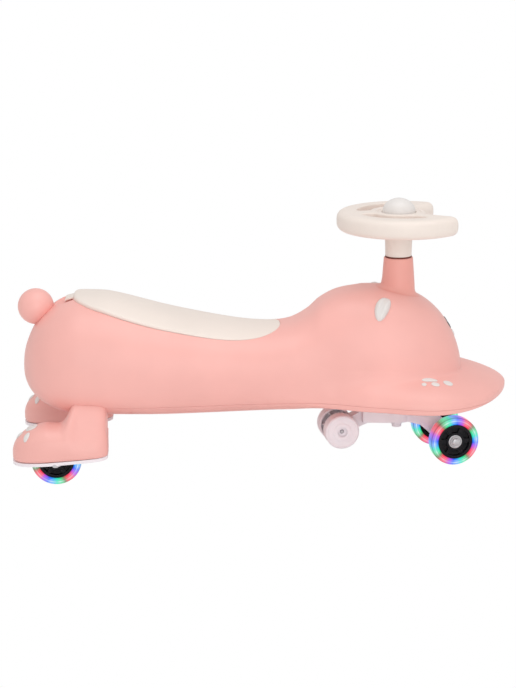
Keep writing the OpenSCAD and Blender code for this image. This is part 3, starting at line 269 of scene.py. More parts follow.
def makeObject(name, points, faces, sharp=crease):
    mesh = bpy.data.meshes.new(name)
    mesh.from_pydata([(p[0] * mm, p[1] * mm, p[2] * mm) for p in points], [], faces)
    obj = bpy.data.objects.new(name, mesh)
    scene.collection.objects.link(obj)
    tidyMesh(obj, sharp, 0.0)
    return obj


def tidyMesh(obj, sharp=crease, weld=1e-6):
    work = bmesh.new()
    work.from_mesh(obj.data)
    if weld:
        bmesh.ops.remove_doubles(work, verts=work.verts, dist=weld)
    bmesh.ops.recalc_face_normals(work, faces=work.faces)
    for face in work.faces:
        face.smooth = True
    work.to_mesh(obj.data)
    work.free()
    obj.data.set_sharp_from_angle(angle=math.radians(sharp))


def combine(base, steps, sharp=crease):
    for how, other in steps:
        cut = base.modifiers.new(how, "BOOLEAN")
        cut.operation = how
        cut.object = other
        cut.solver = "MANIFOLD"
    graph = bpy.context.evaluated_depsgraph_get()
    mesh = bpy.data.meshes.new_from_object(base.evaluated_get(graph))
    base.modifiers.clear()
    base.data = mesh
    for other in {o for how, o in steps}:
        bpy.data.objects.remove(other)
    tidyMesh(base, sharp, 2e-6)
    return base


# Eases the edges of one region of a mesh
def rounded(obj, inside, times):
    work = bmesh.new()
    work.from_mesh(obj.data)
    region = [v for v in work.verts if inside(v.co)]
    for _ in range(times):
        bmesh.ops.smooth_vert(work, verts=region, factor=0.5,
                              use_axis_x=True, use_axis_y=True, use_axis_z=True)
    work.to_mesh(obj.data)
    work.free()
    tidyMesh(obj, crease, 0.0)


def loftFaces(m, n):
    end = m * n + 1
    faces = [(0, 1 + (j + 1) % n, 1 + j) for j in range(n)]
    for i in range(m - 1):
        a, b = 1 + i * n, 1 + (i + 1) * n
        faces += [(a + j, a + (j + 1) % n, b + (j + 1) % n, b + j) for j in range(n)]
    a = 1 + (m - 1) * n
    faces += [(a + j, a + (j + 1) % n, end) for j in range(n)]
    return faces


def loft(name, rings, first, last, sharp=crease):
    points = [first] + [p for ring in rings for p in ring] + [last]
    return makeObject(name, points, loftFaces(len(rings), len(rings[0])), sharp)


def sheet(name, outer, inner, sharp=crease):
    m, w = len(outer), len(outer[0])
    k = m * w
    points = [p for row in outer for p in row] + [p for row in inner for p in row]
    faces = []
    for i in range(m - 1):
        for j in range(w - 1):
            a = i * w + j
            faces += [(a, a + w, a + w + 1, a + 1), (k + a, k + a + 1, k + a + w + 1, k + a + w)]
    rim = list(range(w)) + [i * w + w - 1 for i in range(1, m)]
    rim += [(m - 1) * w + j for j in range(w - 2, -1, -1)] + [i * w for i in range(m - 2, 0, -1)]
    faces += [(a, b, k + b, k + a) for a, b in zip(rim, rim[1:] + rim[:1])]
    return makeObject(name, points, faces, sharp)


def prism(name, loop, low, high):
    n = len(loop)
    points = [(x, y, z) for z in (low, high) for x, y in loop]
    faces = [tuple(range(n - 1, -1, -1)), tuple(range(n, 2 * n))]
    faces += [(k, (k + 1) % n, n + (k + 1) % n, n + k) for k in range(n)]
    return makeObject(name, points, faces)


def rod(name, at, r, low, high, sides=48):
    turns = [math.tau * k / sides for k in range(sides)]
    loop = [(at[0] + r * math.cos(a), at[1] + r * math.sin(a)) for a in turns]
    return prism(name, loop, low, high)


def roundPrism(name, at, long, wide, r, low, high, sides=10):
    loop = []
    for sx, sy, start in ((1, 1, 0), (-1, 1, 90), (-1, -1, 180), (1, -1, 270)):
        mid = (at[0] + sx * (long / 2 - r), at[1] + sy * (wide / 2 - r))
        for i in range(sides + 1):
            a = math.radians(start + 90 * i / sides)
            loop.append((mid[0] + r * math.cos(a), mid[1] + r * math.sin(a)))
    return prism(name, loop, low, high)


def block(name, low, high):
    xs, ys, zs = zip(low, high)
    points = [(x, y, z) for z in zs for y in ys for x in xs]
    faces = [(0, 2, 3, 1), (4, 5, 7, 6), (0, 1, 5, 4), (2, 6, 7, 3), (0, 4, 6, 2), (1, 3, 7, 5)]
    return makeObject(name, points, faces)


def spun(name, profile, place, sides=96, sharp=crease):
    m = len(profile)
    points, faces = [], []
    for k in range(sides):
        a = math.tau * k / sides
        points += [place(r, a, h) for r, h in profile]
    for k in range(sides):
        n = (k + 1) % sides
        faces += [(k * m + i, n * m + i, n * m + (i + 1) % m, k * m + (i + 1) % m)
                  for i in range(m)]
    return makeObject(name, points, faces, sharp)


# Where a profile point comes to lie when it is spun round a level axis
def around(centre, axis):
    up = Vector((0, 0, 1))
    ahead = axis.cross(up)

    def place(r, a, h):
        spoke = ahead * (r * math.cos(a))
        return tuple(Vector(centre) + spoke + up * (r * math.sin(a)) + axis * h)

    return place


def mirrored(obj, name):
    mesh = obj.data.copy()
    mesh.transform(Matrix.Scale(-1, 4, (0, 1, 0)))
    mesh.flip_normals()
    twin = bpy.data.objects.new(name, mesh)
    scene.collection.objects.link(twin)
    return twin


def paint(obj, slotName):
    obj.data.materials.clear()
    obj.data.materials.append(looks[slotName])


def dress(obj, body, slotName, *replaced):
    paint(obj, slotName)
    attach(obj, body)
    if replaced:
        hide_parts(*replaced)
    return obj


# A finer copy of a CAD solid: joined up, with its sharp edges rounded a little
def softened(node, name, body, slotName, width=0.5, sharp=32.0, segments=2):
    obj = bpy.data.objects.new(name, nodes[node].data.copy())
    scene.collection.objects.link(obj)
    obj.data.materials.clear()
    work = bmesh.new()
    work.from_mesh(obj.data)
    bmesh.ops.remove_doubles(work, verts=work.verts, dist=2e-6)
    bmesh.ops.dissolve_limit(work, angle_limit=math.radians(0.5), verts=work.verts,
                             edges=work.edges)
    least = math.radians(sharp)
    edges = [e for e in work.edges if e.is_manifold and e.calc_face_angle(0.0) > least]
    bmesh.ops.bevel(work, geom=edges, offset=width * mm, offset_type="OFFSET", segments=segments,
                    profile=0.5, affect="EDGES", clamp_overlap=True, material=-1)
    work.to_mesh(obj.data)
    work.free()
    tidyMesh(obj, sharp, 1e-6)
    return dress(obj, body, slotName, node)


# Body: the same lines as the CAD shell, drawn finer
car = {
    "tip": 397, "tail": 387, "belly": 92, "hipTop": 281, "saddle": 231, "headTop": 290, "hip": 117,
    "waist": 88, "head": 100, "brim": 147, "edge": 119, "drop": 12, "rise": 52, "wall": 3,
    "hipX": -290, "saddleX": 6, "waistX": 86, "headX": 165, "cheekX": 200, "browX": 325,
    "brimX": 262, "hipMid": 166, "tipLift": 13, "fillet": 12, "tread": 2.5, "least": 0.3,
}
topLine = [(car["hipX"], car["hipTop"])]
topLine += [(x, mix(car["saddle"], car["hipTop"], t))
            for x, t in ((-245, 0.94), (-150, 0.48), (-52, 0.11))]
topLine += [(x, mix(car["saddle"], car["headTop"], t))
            for x, t in ((car["saddleX"], 0), (45, 0.06), (75, 0.33), (95, 0.64), (123, 0.88),
                         (car["headX"], 1))]
halfLine = [(x, mix(car["waist"], car["hip"], t))
            for x, t in ((car["hipX"], 1), (-150, 0.84), (-8, 0.31), (car["waistX"], 0))]
halfLine += [(x, mix(car["waist"], car["head"], t)) for x, t in ((140, 0.6), (car["cheekX"], 1))]
reachLine = [(20, 0.7 * car["waist"]), (75, 0.93 * car["waist"])]
reachLine += [(x, mix(car["waist"], car["brim"], t))
              for x, t in ((112, 0.12), (160, 0.49), (190, 0.65), (225, 0.88), (car["brimX"], 1))]
midLine = [(car["hipX"], car["hipMid"]), (-52, 160), (40, 140), (112, car["edge"])]
bellyLine = [(car["hipX"], car["belly"] + 3), (-150, car["belly"]), (40, car["belly"] + 6),
             (112, car["edge"] - car["drop"])]
lowerPower = [(car["hipX"], 2.6), (-52, 2.8), (60, 3.5), (140, 6)]
upperPower = [(car["hipX"], 2.4), (-52, 2.5), (60, 2.8), (car["headX"], 3)]


def edgeAt(x):
    ahead = max(0.0, (x - car["brimX"]) / (car["tip"] - car["brimX"]))
    return car["edge"] + car["tipLift"] * ahead ** 2


def brimHigh(x, inset):
    ahead = (x - car["brimX"]) / (car["tip"] - inset - car["brimX"])
    return max(car["least"], car["rise"] - inset) * quarter(ahead, 1.3)


def crownAt(x, inset):
    edge = edgeAt(x)
    brow = car["browX"] - car["tread"] * inset
    ahead = (x - car["headX"]) / (brow - car["headX"])
    dome = (car["headTop"] - inset - edge) * quarter(ahead, 2.5)
    brim = brimHigh(x, car["tread"] * inset)
    return edge + max(car["least"], (dome ** 8 + brim ** 8) ** 0.125)


# A section runs from the keel (s = -1) over the widest place (0) to the crown (1)
def sectionPoint(s, half, top, belly, mid, lowN, upN, reach=0.0, brim=1.0, fillet=0.0):
    if s <= 0:
        a = math.radians(90 * (1 + s))
        z = mid - (mid - belly) * max(0.0, math.cos(a)) ** (2 / lowN)
        return blend(half, reach, fillet) * max(0.0, math.sin(a)) ** (2 / lowN), z
    b = math.radians(90 * min(1.0, s) ** 2.5)
    near = max(0.0, math.cos(b)) if s < 1 else 0.0
    z = mid + (top - mid) * math.sin(b) ** (2 / upN)
    rim = reach * quarter((z - mid) / brim, 2) if s < 1 else 0.0
    return blend(half * near ** (2 / upN), rim, fillet * near), z


def section(x, inset=0.0):
    tread = car["tread"] * inset
    rear = quarter((car["hipX"] - x) / (car["tail"] + car["hipX"] - inset), 2)
    ahead = (x - car["brimX"]) / (car["tip"] - inset - car["brimX"])
    front, keel = quarter(ahead, 1.9), quarter(ahead, 4)
    dome = quarter((x - car["cheekX"]) / (car["browX"] - tread - car["cheekX"]), 2.6)
    half = (along(halfLine, x) - inset) * rear * dome
    reach = (along(reachLine, x) - tread) * rear * front
    fillet = max(0.0, car["fillet"] - 3 * inset) * front * ramp((x - car["waistX"] + 40) / 60)
    lift = edgeAt(x) - car["edge"]
    mid = along(midLine, x) + lift
    crown = along(topLine, x) - inset if x < car["headX"] else crownAt(x, inset)
    belly = along(bellyLine, x) + inset + lift
    return (half, mix(mid, crown, rear), mix(mid, belly, rear * keel), mid,
            along(lowerPower, x), along(upperPower, x), reach,
            max(car["least"], brimHigh(x, tread)), fillet)


def skin(x, s, inset=0.0):
    y, z = sectionPoint(s, *section(x, inset))
    return x, y, z


def bodyPlaces(inset, counts):
    a, b, c, d = counts
    tail, tip = car["tail"] + car["hipX"] - inset, car["tip"] - inset
    brow = car["browX"] - car["tread"] * inset
    return ([car["hipX"] - tail * math.cos(math.pi / 2 * i / (a + 1)) for i in range(1, a + 1)]
            + [mix(car["hipX"], car["headX"], i / b) for i in range(b)]
            + [mix(car["headX"], brow, math.sin(math.pi / 2 * i / c)) for i in range(c)]
            + [mix(brow, tip, (1 - math.cos(math.pi * i / d)) / 2) for i in range(d)])


# One side of a section: first over the brim, then up the dome, so that neighbouring rings match
def upperSide(x, shape, brimCount, domeCount):
    half, top, _, mid, _, power, reach, brim, fillet = shape
    split = min(brim, (top - mid) * (1.0 if x > car["headX"] else 0.5))
    last = math.radians(88)
    heights = [split * math.sin(last * k / brimCount) for k in range(brimCount)]
    start = math.asin(min(1.0, (split * math.sin(last) / (top - mid)) ** (power / 2)))
    turns = [mix(start, math.pi / 2, (k / domeCount) ** 1.3) for k in range(domeCount)]
    heights += [(top - mid) * math.sin(t) ** (2 / power) for t in turns]
    points = []
    for z in heights:
        near = math.sqrt(max(0.0, 1 - (z / (top - mid)) ** power))
        y = blend(half * near ** (2 / power), reach * quarter(z / brim, 2), fillet * near)
        points.append((x, y, mid + z))
    return points + [(x, 0.0, top)]


def bodyForm(name, inset, counts):
    low, brimCount, domeCount = counts["around"]
    rings = []
    for x in bodyPlaces(inset, counts["along"]):
        shape = section(x, inset)
        side = [(x, *sectionPoint(i / low - 1, *shape)) for i in range(low)]
        side += upperSide(x, shape, brimCount, domeCount)
        rings.append(side + [(x, -p[1], p[2]) for p in side[-2:0:-1]])
    tip = (car["tip"] - inset, 0, car["edge"] + car["tipLift"])
    return loft(name, rings, (inset - car["tail"], 0, car["hipMid"]), tip)


def solveStep(f, want):
    a, b = 0.0, 1.0
    for _ in range(30):
        m = (a + b) / 2
        a, b = (m, b) if f(m) > want else (a, m)
    return (a + b) / 2


def bodyTop(x, v):
    shape = section(x)
    s = solveStep(lambda t: sectionPoint(t, *shape)[0], abs(v))
    return Vector((x, -v, sectionPoint(s, *shape)[1]))


# A domed oval pad that follows the skin f(x, v); fold presses a groove along its length
def padMesh(f, x, v, long, short, turned, thick, rim, fold=0.0, lift=0.15, rings=9, n=48):
    tx = f(x + 0.5, v) - f(x - 0.5, v)
    tv = f(x, v + 0.5) - f(x, v - 0.5)
    out = tv.cross(tx).normalized()
    c, s = math.cos(math.radians(turned)), math.sin(math.radians(turned))
    spots = [(0.0, 0.0)]
    spots += [(math.sin(math.pi / 2 * r / rings), math.tau * k / n)
              for r in range(1, rings + 1) for k in range(n)]
    base, crown = [], []
    for q, a in spots:
        p, w = long * q * math.cos(a), short * q * math.sin(a)
        spot = f(x + (p * c - w * s) / tx.length, v + (p * s + w * c) / tv.length) + out * lift
        press = 1 - fold * math.exp(-(3 * q * math.sin(a)) ** 2)
        base.append(spot)
        crown.append(spot + out * mix(rim, thick, math.sqrt(max(0.0, 1 - q * q)) * press))
    m = len(spots)
    faces = [(0, 1 + k, 1 + (k + 1) % n) for k in range(n)]
    faces += [(m, m + 1 + (k + 1) % n, m + 1 + k) for k in range(n)]
    for r in range(rings - 1):
        for k in range(n):
            i, j = 1 + r * n + k, 1 + r * n + (k + 1) % n
            faces += [(i, i + n, j + n, j), (m + i, m + j, m + j + n, m + i + n)]
    last = 1 + (rings - 1) * n
    faces += [(last + (k + 1) % n, last + k, m + last + k, m + last + (k + 1) % n)
              for k in range(n)]
    return crown + base, faces


fine = {"along": (22, 74, 40, 34), "around": (18, 36, 40)}
coarse = {"along": (8, 30, 18, 12), "around": (8, 12, 16)}

# Seat outline and its rows over the top of the body
seat = {
    "half": 78, "rear": 317, "front": 29, "thick": 7, "proud": 6, "tabLen": 13, "tabThick": 3,
    "tabHalf": 14, "tipHalf": 4, "tabBend": 1.2, "gap": 0.6, "rest": 0.3, "edgeRound": 1.4,
    "softer": 0.55, "roll": 9, "deckOver": 1, "recessOver": 6,
}
tabX = seat["tabLen"] - seat["rear"]
rollX = tabX + seat["roll"]
seatMid = (seat["front"] + tabX) / 2
deckInset = seat["thick"] + 2 * seat["rest"]


def seatWidth(x, grow=0.0):
    body = seat["half"] * quarter(abs(x - seatMid) / (seat["front"] - seatMid), 2.8)
    return grow + max(seat["tabHalf"] if x < seatMid else seat["tipHalf"], body)


def seatRise(x):
    up = max(0.0, along(topLine, min(x, car["saddleX"])) - car["saddle"])
    share = up / (car["hipTop"] - car["saddle"])
    return seat["proud"] * share


def widthStep(x, y):
    half = along(halfLine, x) * quarter((car["hipX"] - x) / (car["tail"] + car["hipX"]), 2)
    turned = math.acos(min(0.98, y / half) ** (along(upperPower, x) / 2))
    return (math.degrees(turned) / 90) ** 0.4


def overTop(x, wide, steps, lower):
    edge = widthStep(x, wide)
    half = [skin(x, mix(edge, 1, u), lower(u, x)) for u in steps]
    return half + [(x, -p[1], p[2]) for p in half[-2::-1]]


def seatBlock(name, grow, high, low):
    steps = [(i / 24) ** 1.5 for i in range(25)]
    places = [mix(-seat["rear"] - grow, tabX, t) for t in (0, 0.2, 0.6)]
    places += [tabX + d for d in (-1.5, 1.5, 4, seat["roll"])]
    places += [mix(rollX, seat["front"] + grow, math.sin(math.pi / 2 * i / 36))
               for i in range(1, 37)]

    def rows(inset):
        return [overTop(x, seatWidth(x, grow), steps, lambda u, p: inset) for x in places]

    return sheet(name, rows(high), rows(low))


# Finger scoop in the body under the seat's tab, and the skin that is kept below it
scoop = {"x": -315, "long": 21, "short": 26, "deep": 7, "over": 3, "keep": (4, 3.5, 3.2)}


def scoopBlock(name, grow, rim, deep):
    over = scoop["over"]
    return makeObject(name, *padMesh(bodyTop, scoop["x"], 0, scoop["long"] + grow,
                                     scoop["short"] + grow, 0, -over - deep, -over - rim, 0, over))


# Upper shell and base pan, which meet at the parting line in a fine groove
far = 600
seam = 0.15
edge = car["edge"]
groove = {"deep": 0.4, "half": 0.2, "lip": 4}
shell = {"columnX": 221, "neckR": 27.2, "neckTop": 300, "under": 1, "thicker": 2}
tub = {"x": -145, "long": 190.6, "wide": 104.6, "round": 24.3, "low": 171, "high": 282}


def bodySlice(name, inset, low, high):
    slab = block("slab", (-far, -far, low), (far, far, high))
    return combine(bodyForm(name, inset, fine), [("INTERSECT", slab)])


def less(*cutters):
    return [("DIFFERENCE", cutter) for cutter in cutters]


upper = bodySlice("upperShell", 0, edge + groove["half"], far)
lip = bodySlice("lip", groove["deep"], edge, edge + groove["lip"])
keepGrow, keepRim, keepDeep = scoop["keep"]
inside = combine(bodyForm("inside", car["wall"] + shell["thicker"], coarse), less(
    seatBlock("deck", seat["gap"] + car["wall"], -seat["deckOver"], deckInset + car["wall"]),
    scoopBlock("keep", keepGrow, keepRim, scoop["deep"] + keepDeep)))
upper = combine(upper, [("UNION", lip)] + less(
    inside, seatBlock("recess", seat["gap"], -seat["recessOver"], deckInset),
    scoopBlock("scoop", 0, 0, scoop["deep"]),
    roundPrism("mouth", (tub["x"], 0), tub["long"], tub["wide"], tub["round"],
               tub["low"], tub["high"]),
    rod("neck", (shell["columnX"], 0), shell["neckR"], edge - shell["under"],
        shell["neckTop"], 96)))
dress(upper, "body", "pink", "upper_shell")
print("upper shell", len(upper.data.polygons))

panFit = {
    "columns": ((-215, 82), (20, 64), (150, 82), (316, 60)), "columnR": 6.5, "columnTop": 200,
    "postX": 190 / 3, "postY": 104 / 3, "postR": 7.5, "postTop": 114, "standLow": 80,
    "holeR": 4.6, "columnHole": 115, "postHole": 99, "bore": 15.05, "boreTop": 130, "under": 60,
}


def rods(places, r, low, high, sides=48):
    return less(*(rod("rod", p, r, low, high, sides) for p in places))


pan = bodySlice("basePan", 0, 0, edge - groove["half"])
lip = bodySlice("lip", groove["deep"], edge - groove["lip"], edge)
columns = [(x, y * side) for x, y in panFit["columns"] for side in (1, -1)]
posts = [(tub["x"] + i * panFit["postX"], j * panFit["postY"]) for i in (-1, 1) for j in (-1, 1)]
stands = rods(columns, panFit["columnR"], panFit["standLow"], panFit["columnTop"])
stands += rods(posts, panFit["postR"], panFit["standLow"], panFit["postTop"])
inside = combine(bodyForm("inside", car["wall"], coarse), stands)
holes = rods(columns, panFit["holeR"], panFit["under"], panFit["columnHole"])
holes += rods(posts, panFit["holeR"], panFit["under"], panFit["postHole"])
holes += rods([(shell["columnX"], 0)], panFit["bore"], panFit["under"], panFit["boreTop"], 72)
pan = combine(pan, [("UNION", lip)] + less(inside) + holes)
dress(pan, "body", "pink", "base_pan")
print("base pan", len(pan.data.polygons))


# Seat lid: a crowned cream moulding with rolled edges and a thin finger tab
def seatDrop(x, d):
    r = seat["edgeRound"] + seat["softer"] * seatRise(x)
    return 0.0 if d >= r else r - math.sqrt(max(0.0, r * r - (r - d) ** 2))


def seatRow(x, steps):
    wide = seatWidth(x)
    slope = (seatWidth(x + 0.2) - seatWidth(x - 0.2)) / 0.4
    slant = math.sqrt(1 + slope * slope) if wide > seat["tabHalf"] or x > seatMid else 1.0
    edgeStep = widthStep(x, wide)
    half = []
    for u in steps:
        s = mix(edgeStep, 1, u)
        d = min((wide - skin(x, s)[1]) / slant, x - tabX)
        half.append(skin(x, s, seatDrop(x, max(0.0, d)) - seatRise(x)))
    return half + [(p[0], -p[1], p[2]) for p in half[-2::-1]]


acrossSteps = [0.5 * (i / 14) ** 2.2 for i in range(14)] + [0.5 + 0.5 * i / 16 for i in range(17)]
alongPlaces = [tabX + seat["roll"] * (i / 14) ** 1.6 for i in range(14)]
alongPlaces += [mix(rollX, seat["front"], math.sin(math.pi / 2 * i / 60)) for i in range(61)]
lid = sheet("seatLid", [seatRow(x, acrossSteps) for x in alongPlaces],
            [overTop(x, seatWidth(x), acrossSteps, lambda u, p: seat["thick"])
             for x in alongPlaces], 50)
tabSteps = [(i / 10) ** 1.5 for i in range(11)]
tabPlaces = [mix(-seat["rear"], tabX + 5, t) for t in (0, 0.02, 0.06, 0.14, 0.3, 0.5, 0.7, 0.85, 1)]


def tabTop(u, x):
    bend = seat["tabBend"]
    d = min(x + seat["rear"], seat["tabHalf"] * u)
    drop = 0 if d > bend else bend - math.sqrt(max(0, bend ** 2 - (bend - d) ** 2))
    return seat["rest"] - seat["tabThick"] + drop


tab = sheet("tab", [overTop(x, seat["tabHalf"], tabSteps, tabTop) for x in tabPlaces],
            [overTop(x, seat["tabHalf"], tabSteps, lambda u, p: seat["rest"]) for x in tabPlaces])
lid = combine(lid, [("UNION", tab)], 50)
dress(lid, "seat", "cream", "seat_lid")
print("seat")

# Rear feet: boots that run up under the body
foot = {
    "tip": 400, "heel": 250, "y": 110, "half": 42, "top": 99, "soleZ": 38, "soleT": 5,
    "tilt": math.radians(3.4), "toeX": -338, "legTop": 152, "lean": 42, "from": -322, "to": -292,
    "mid": 56, "heelRound": 37, "heelTaper": 0.14,
}
ankle = {"low": 84, "rear": -345, "times": 40}
rearWheel = {"x": -332, "y": 106, "z": 40, "wellR": 44, "wellHalf": 16,
             "rooms": ((44, 16, 0), (11.4, 25.4, 12.4), (8.1, 31.5, 8.1))}


def legShare(x):
    return ramp((x - foot["from"]) / (foot["to"] - foot["from"]))


def footShape(x):
    toe = (foot["toeX"] - x) / (foot["toeX"] + foot["tip"])
    back = max(0.0, (x - foot["toeX"]) / (-foot["heel"] - foot["toeX"]))
    heel = 0.97 * (x + foot["heel"] + foot["heelRound"]) / foot["heelRound"]
    wide = foot["half"] * quarter(toe, 2.4) * (1 - foot["heelTaper"] * back ** 2) * quarter(heel, 4)
    top = mix(foot["mid"], foot["top"], quarter(toe, 2))
    top += (foot["legTop"] - foot["top"]) * legShare(x)
    sole = foot["soleZ"] + foot["soleT"] / math.cos(foot["tilt"])
    sole += (x + foot["tip"]) * math.tan(foot["tilt"])
    return wide, top, mix(foot["mid"], sole, quarter(toe, 6)), foot["mid"], 8, 2.7


def legShift(x, z):
    return (foot["lean"] * legShare(x)
            * ramp((z - foot["mid"]) / (foot["legTop"] - foot["mid"])))


def footRing(x, steps):
    shape = footShape(x)
    side = [sectionPoint(s, *shape) for s in steps]
    ring = side + [(-y, z) for y, z in side[-2:0:-1]]
    return [(x, y - legShift(x, z) + foot["y"], z) for y, z in ring]


footSteps = [i / 10 - 1 for i in range(10)] + [i / 44 for i in range(45)]
footPlaces = [foot["toeX"] - (foot["tip"] + foot["toeX"]) * math.cos(math.pi / 2 * i / 27)
              for i in range(1, 27)]
footPlaces += [mix(foot["toeX"], foot["from"], i / 8) for i in range(8)]
footPlaces += [mix(foot["from"], foot["to"], i / 24) for i in range(24)]
footPlaces += [mix(foot["to"], -foot["heel"], math.sin(math.pi / 2 * i / 26)) for i in range(27)]
leftFoot = loft("footLeft", [footRing(x, footSteps) for x in footPlaces],
                (-foot["tip"], foot["y"], foot["mid"]), (-foot["heel"], foot["y"], foot["mid"]))
rounded(leftFoot, lambda p: p.z > ankle["low"] * mm and p.x > ankle["rear"] * mm, ankle["times"])


def wheelRoom(dx, dy, up):
    x, y, z = rearWheel["x"], rearWheel["y"], rearWheel["z"]
    return block("room", (x - dx, y - dy, 0), (x + dx, y + dy, z + up))


def inWell(r, a, h):
    return rearWheel["x"] + r * math.cos(a), rearWheel["y"] + h, rearWheel["z"] + r * math.sin(a)


wellR, wellHalf = rearWheel["wellR"], rearWheel["wellHalf"]
well = spun("well", [(0.01, -wellHalf), (wellR, -wellHalf), (wellR, wellHalf), (0.01, wellHalf)],
            inWell)
leftFoot = combine(leftFoot, less(bodyForm("body", -seam, fine), well,
                                  *(wheelRoom(*room) for room in rearWheel["rooms"])))
rightFoot = mirrored(leftFoot, "footRight")
dress(leftFoot, "body", "pink", "foot_left")
dress(rightFoot, "body", "pink", "foot_right")
for side in ("left", "right"):
    softened("sole_" + side, "sole" + side.title(), "body", "lilac", 0.9, 40, 3)
print("feet")


# Raised marks that lie on a skin
def footTop(x, v):
    shape = footShape(x)
    s = solveStep(lambda t: sectionPoint(t, *shape)[0], abs(v))
    return Vector((x, -v + foot["y"], sectionPoint(s, *shape)[1]))


def pads(name, f, marks, twin):
    points, faces = [], []
    for mark in marks:
        more, add = padMesh(f, *mark)
        for flip in ((1, -1) if twin else (1,)):
            k = len(points)
            points += [(p[0], p[1] * flip, p[2]) for p in more]
            faces += [tuple(k + i for i in (face if flip > 0 else face[::-1])) for face in add]
    return makeObject(name, points, faces, 60)


# Each mark: place along and across, half length, half width, turn, thickness, rim and fold
ears = {"left": (189, -67.5, 21, 11.5, 66, 12, 0.6, 0.35),
        "right": (189, 67.5, 21, 11.5, -66, 12, 0.6, 0.35)}
for side, mark in ears.items():
    dress(pads("ear" + side.title(), bodyTop, [mark], False), "body", "white", "ear_" + side)
eyeMarks = [(302, -17, 6.5, 5, 0, 1.2, 0.35)]
dress(pads("eyePads", bodyTop, eyeMarks, True), "body", "dark", "eyes")
muzzleMarks = [(311, 0, 6, 8, 0, 2, 0.4)]
dress(pads("muzzlePad", bodyTop, muzzleMarks, False), "body", "white", "muzzle")
pawMarks = [(261, -102.5, 12.6, 4.2, 0, 1.3, 0.35), (251, -112, 4, 4, 0, 1.2, 0.35),
            (269, -112, 6.8, 5, -5, 1.2, 0.35), (290, -104, 7.8, 6.2, -12, 1.2, 0.35)]
dress(pads("pawPrints", bodyTop, pawMarks, True), "body", "white", "paw_prints")
toeMarks = [(-369, 0, 10, 12, 0, 2, 0.4), (-375, 24, 8, 5.4, 108, 2, 0.4),
            (-375, -24, 8, 5.4, -108, 2, 0.4), (-388, 0, 7, 5.4, 0, 2, 0.4)]
dress(pads("toePads", footTop, toeMarks, True), "body", "white", "toe_pads")
print("marks")

# Round tail
tail = {"x": -365, "z": 264.7, "r": 29, "rows": 64, "sides": 96}
rings = []
for i in range(1, tail["rows"]):
    a = math.pi * i / tail["rows"]
    wide, z = tail["r"] * math.sin(a), tail["z"] - tail["r"] * math.cos(a)
    turns = [math.tau * k / tail["sides"] for k in range(tail["sides"])]
    rings.append([(tail["x"] + wide * math.cos(t), wide * math.sin(t), z) for t in turns])
ball = loft("tailBall", rings, (tail["x"], 0, tail["z"] - tail["r"]),
            (tail["x"], 0, tail["z"] + tail["r"]))
ball = combine(ball, less(bodyForm("body", -seam, fine)))
dress(ball, "body", "pink", "tail_ball")

# Neck sleeve: a tapered tube that runs out into the head in a fillet
neck = {"base": 27, "top": 23.5, "z0": 289, "z1": 336, "bore": 19.5, "fillet": 9, "low": 240,
        "slack": 0.4, "tuck": 2, "seam": 0.12, "sides": 120}


def neckRadius(z):
    return mix(neck["base"], neck["top"], max(0.0, (z - neck["z0"]) / (neck["z1"] - neck["z0"])))


def neckColumn(a):
    c, s = math.cos(a), math.sin(a)
    base, bore, inner = neck["base"], neck["bore"], neck["base"] - neck["slack"]

    def head(r):
        return bodyTop(shell["columnX"] + r * c, -r * s)[2]

    column = [(bore, neck["low"]), (inner, neck["low"]), (inner, head(base) - neck["tuck"])]
    for i in range(11):
        t = math.pi / 2 * i / 10
        out = neck["fillet"] * (1 - math.sin(t))
        rise = neck["fillet"] * (1 - math.cos(t))
        column.append((base + out, head(base + out) + neck["seam"] + rise))
    start = column[-1][1]
    for i in range(1, 8):
        z = mix(start, neck["z1"] - 0.4, i / 7)
        column.append((neckRadius(z), z))
    top, end = neck["top"], neck["z1"]
    column += [(top - 0.3, end + 0.5), (top - 1.1, end + 1), (bore, end + 1)]
    return [(shell["columnX"] + r * c, r * s, z) for r, z in column]


sides = neck["sides"]
neckColumns = [neckColumn(math.tau * k / sides) for k in range(sides)]
m = len(neckColumns[0])
faces = []
for k in range(sides):
    n = (k + 1) % sides
    faces += [(k * m + i, k * m + (i + 1) % m, n * m + (i + 1) % m, n * m + i) for i in range(m)]
sleeve = makeObject("neckSleeve", [p for column in neckColumns for p in column], faces)
dress(sleeve, "body", "deep_pink", "neck_sleeve")
print("tail and neck")

# Steering wheel: the CAD solid with all its corners run smooth
wheelMesh = {"voxel": 1.5, "smooth": 10}
steeringWheel = bpy.data.objects.new("steeringWheel", nodes["steering_wheel"].data.copy())
scene.collection.objects.link(steeringWheel)
steeringWheel.data.materials.clear()
tidyMesh(steeringWheel, crease, 2e-6)
again = steeringWheel.modifiers.new("remesh", "REMESH")
again.mode = "VOXEL"
again.voxel_size = wheelMesh["voxel"] * mm
ease = steeringWheel.modifiers.new("ease", "SMOOTH")
ease.factor = 0.5
ease.iterations = wheelMesh["smooth"]
graph = bpy.context.evaluated_depsgraph_get()
smoothed = bpy.data.meshes.new_from_object(steeringWheel.evaluated_get(graph))
steeringWheel.modifiers.clear()
steeringWheel.data = smoothed
tidyMesh(steeringWheel, 60)
dress(steeringWheel, "steering", "cream", "steering_wheel")


def onColumn(r, a, h):
    return shell["columnX"] + r * math.cos(a), r * math.sin(a), h


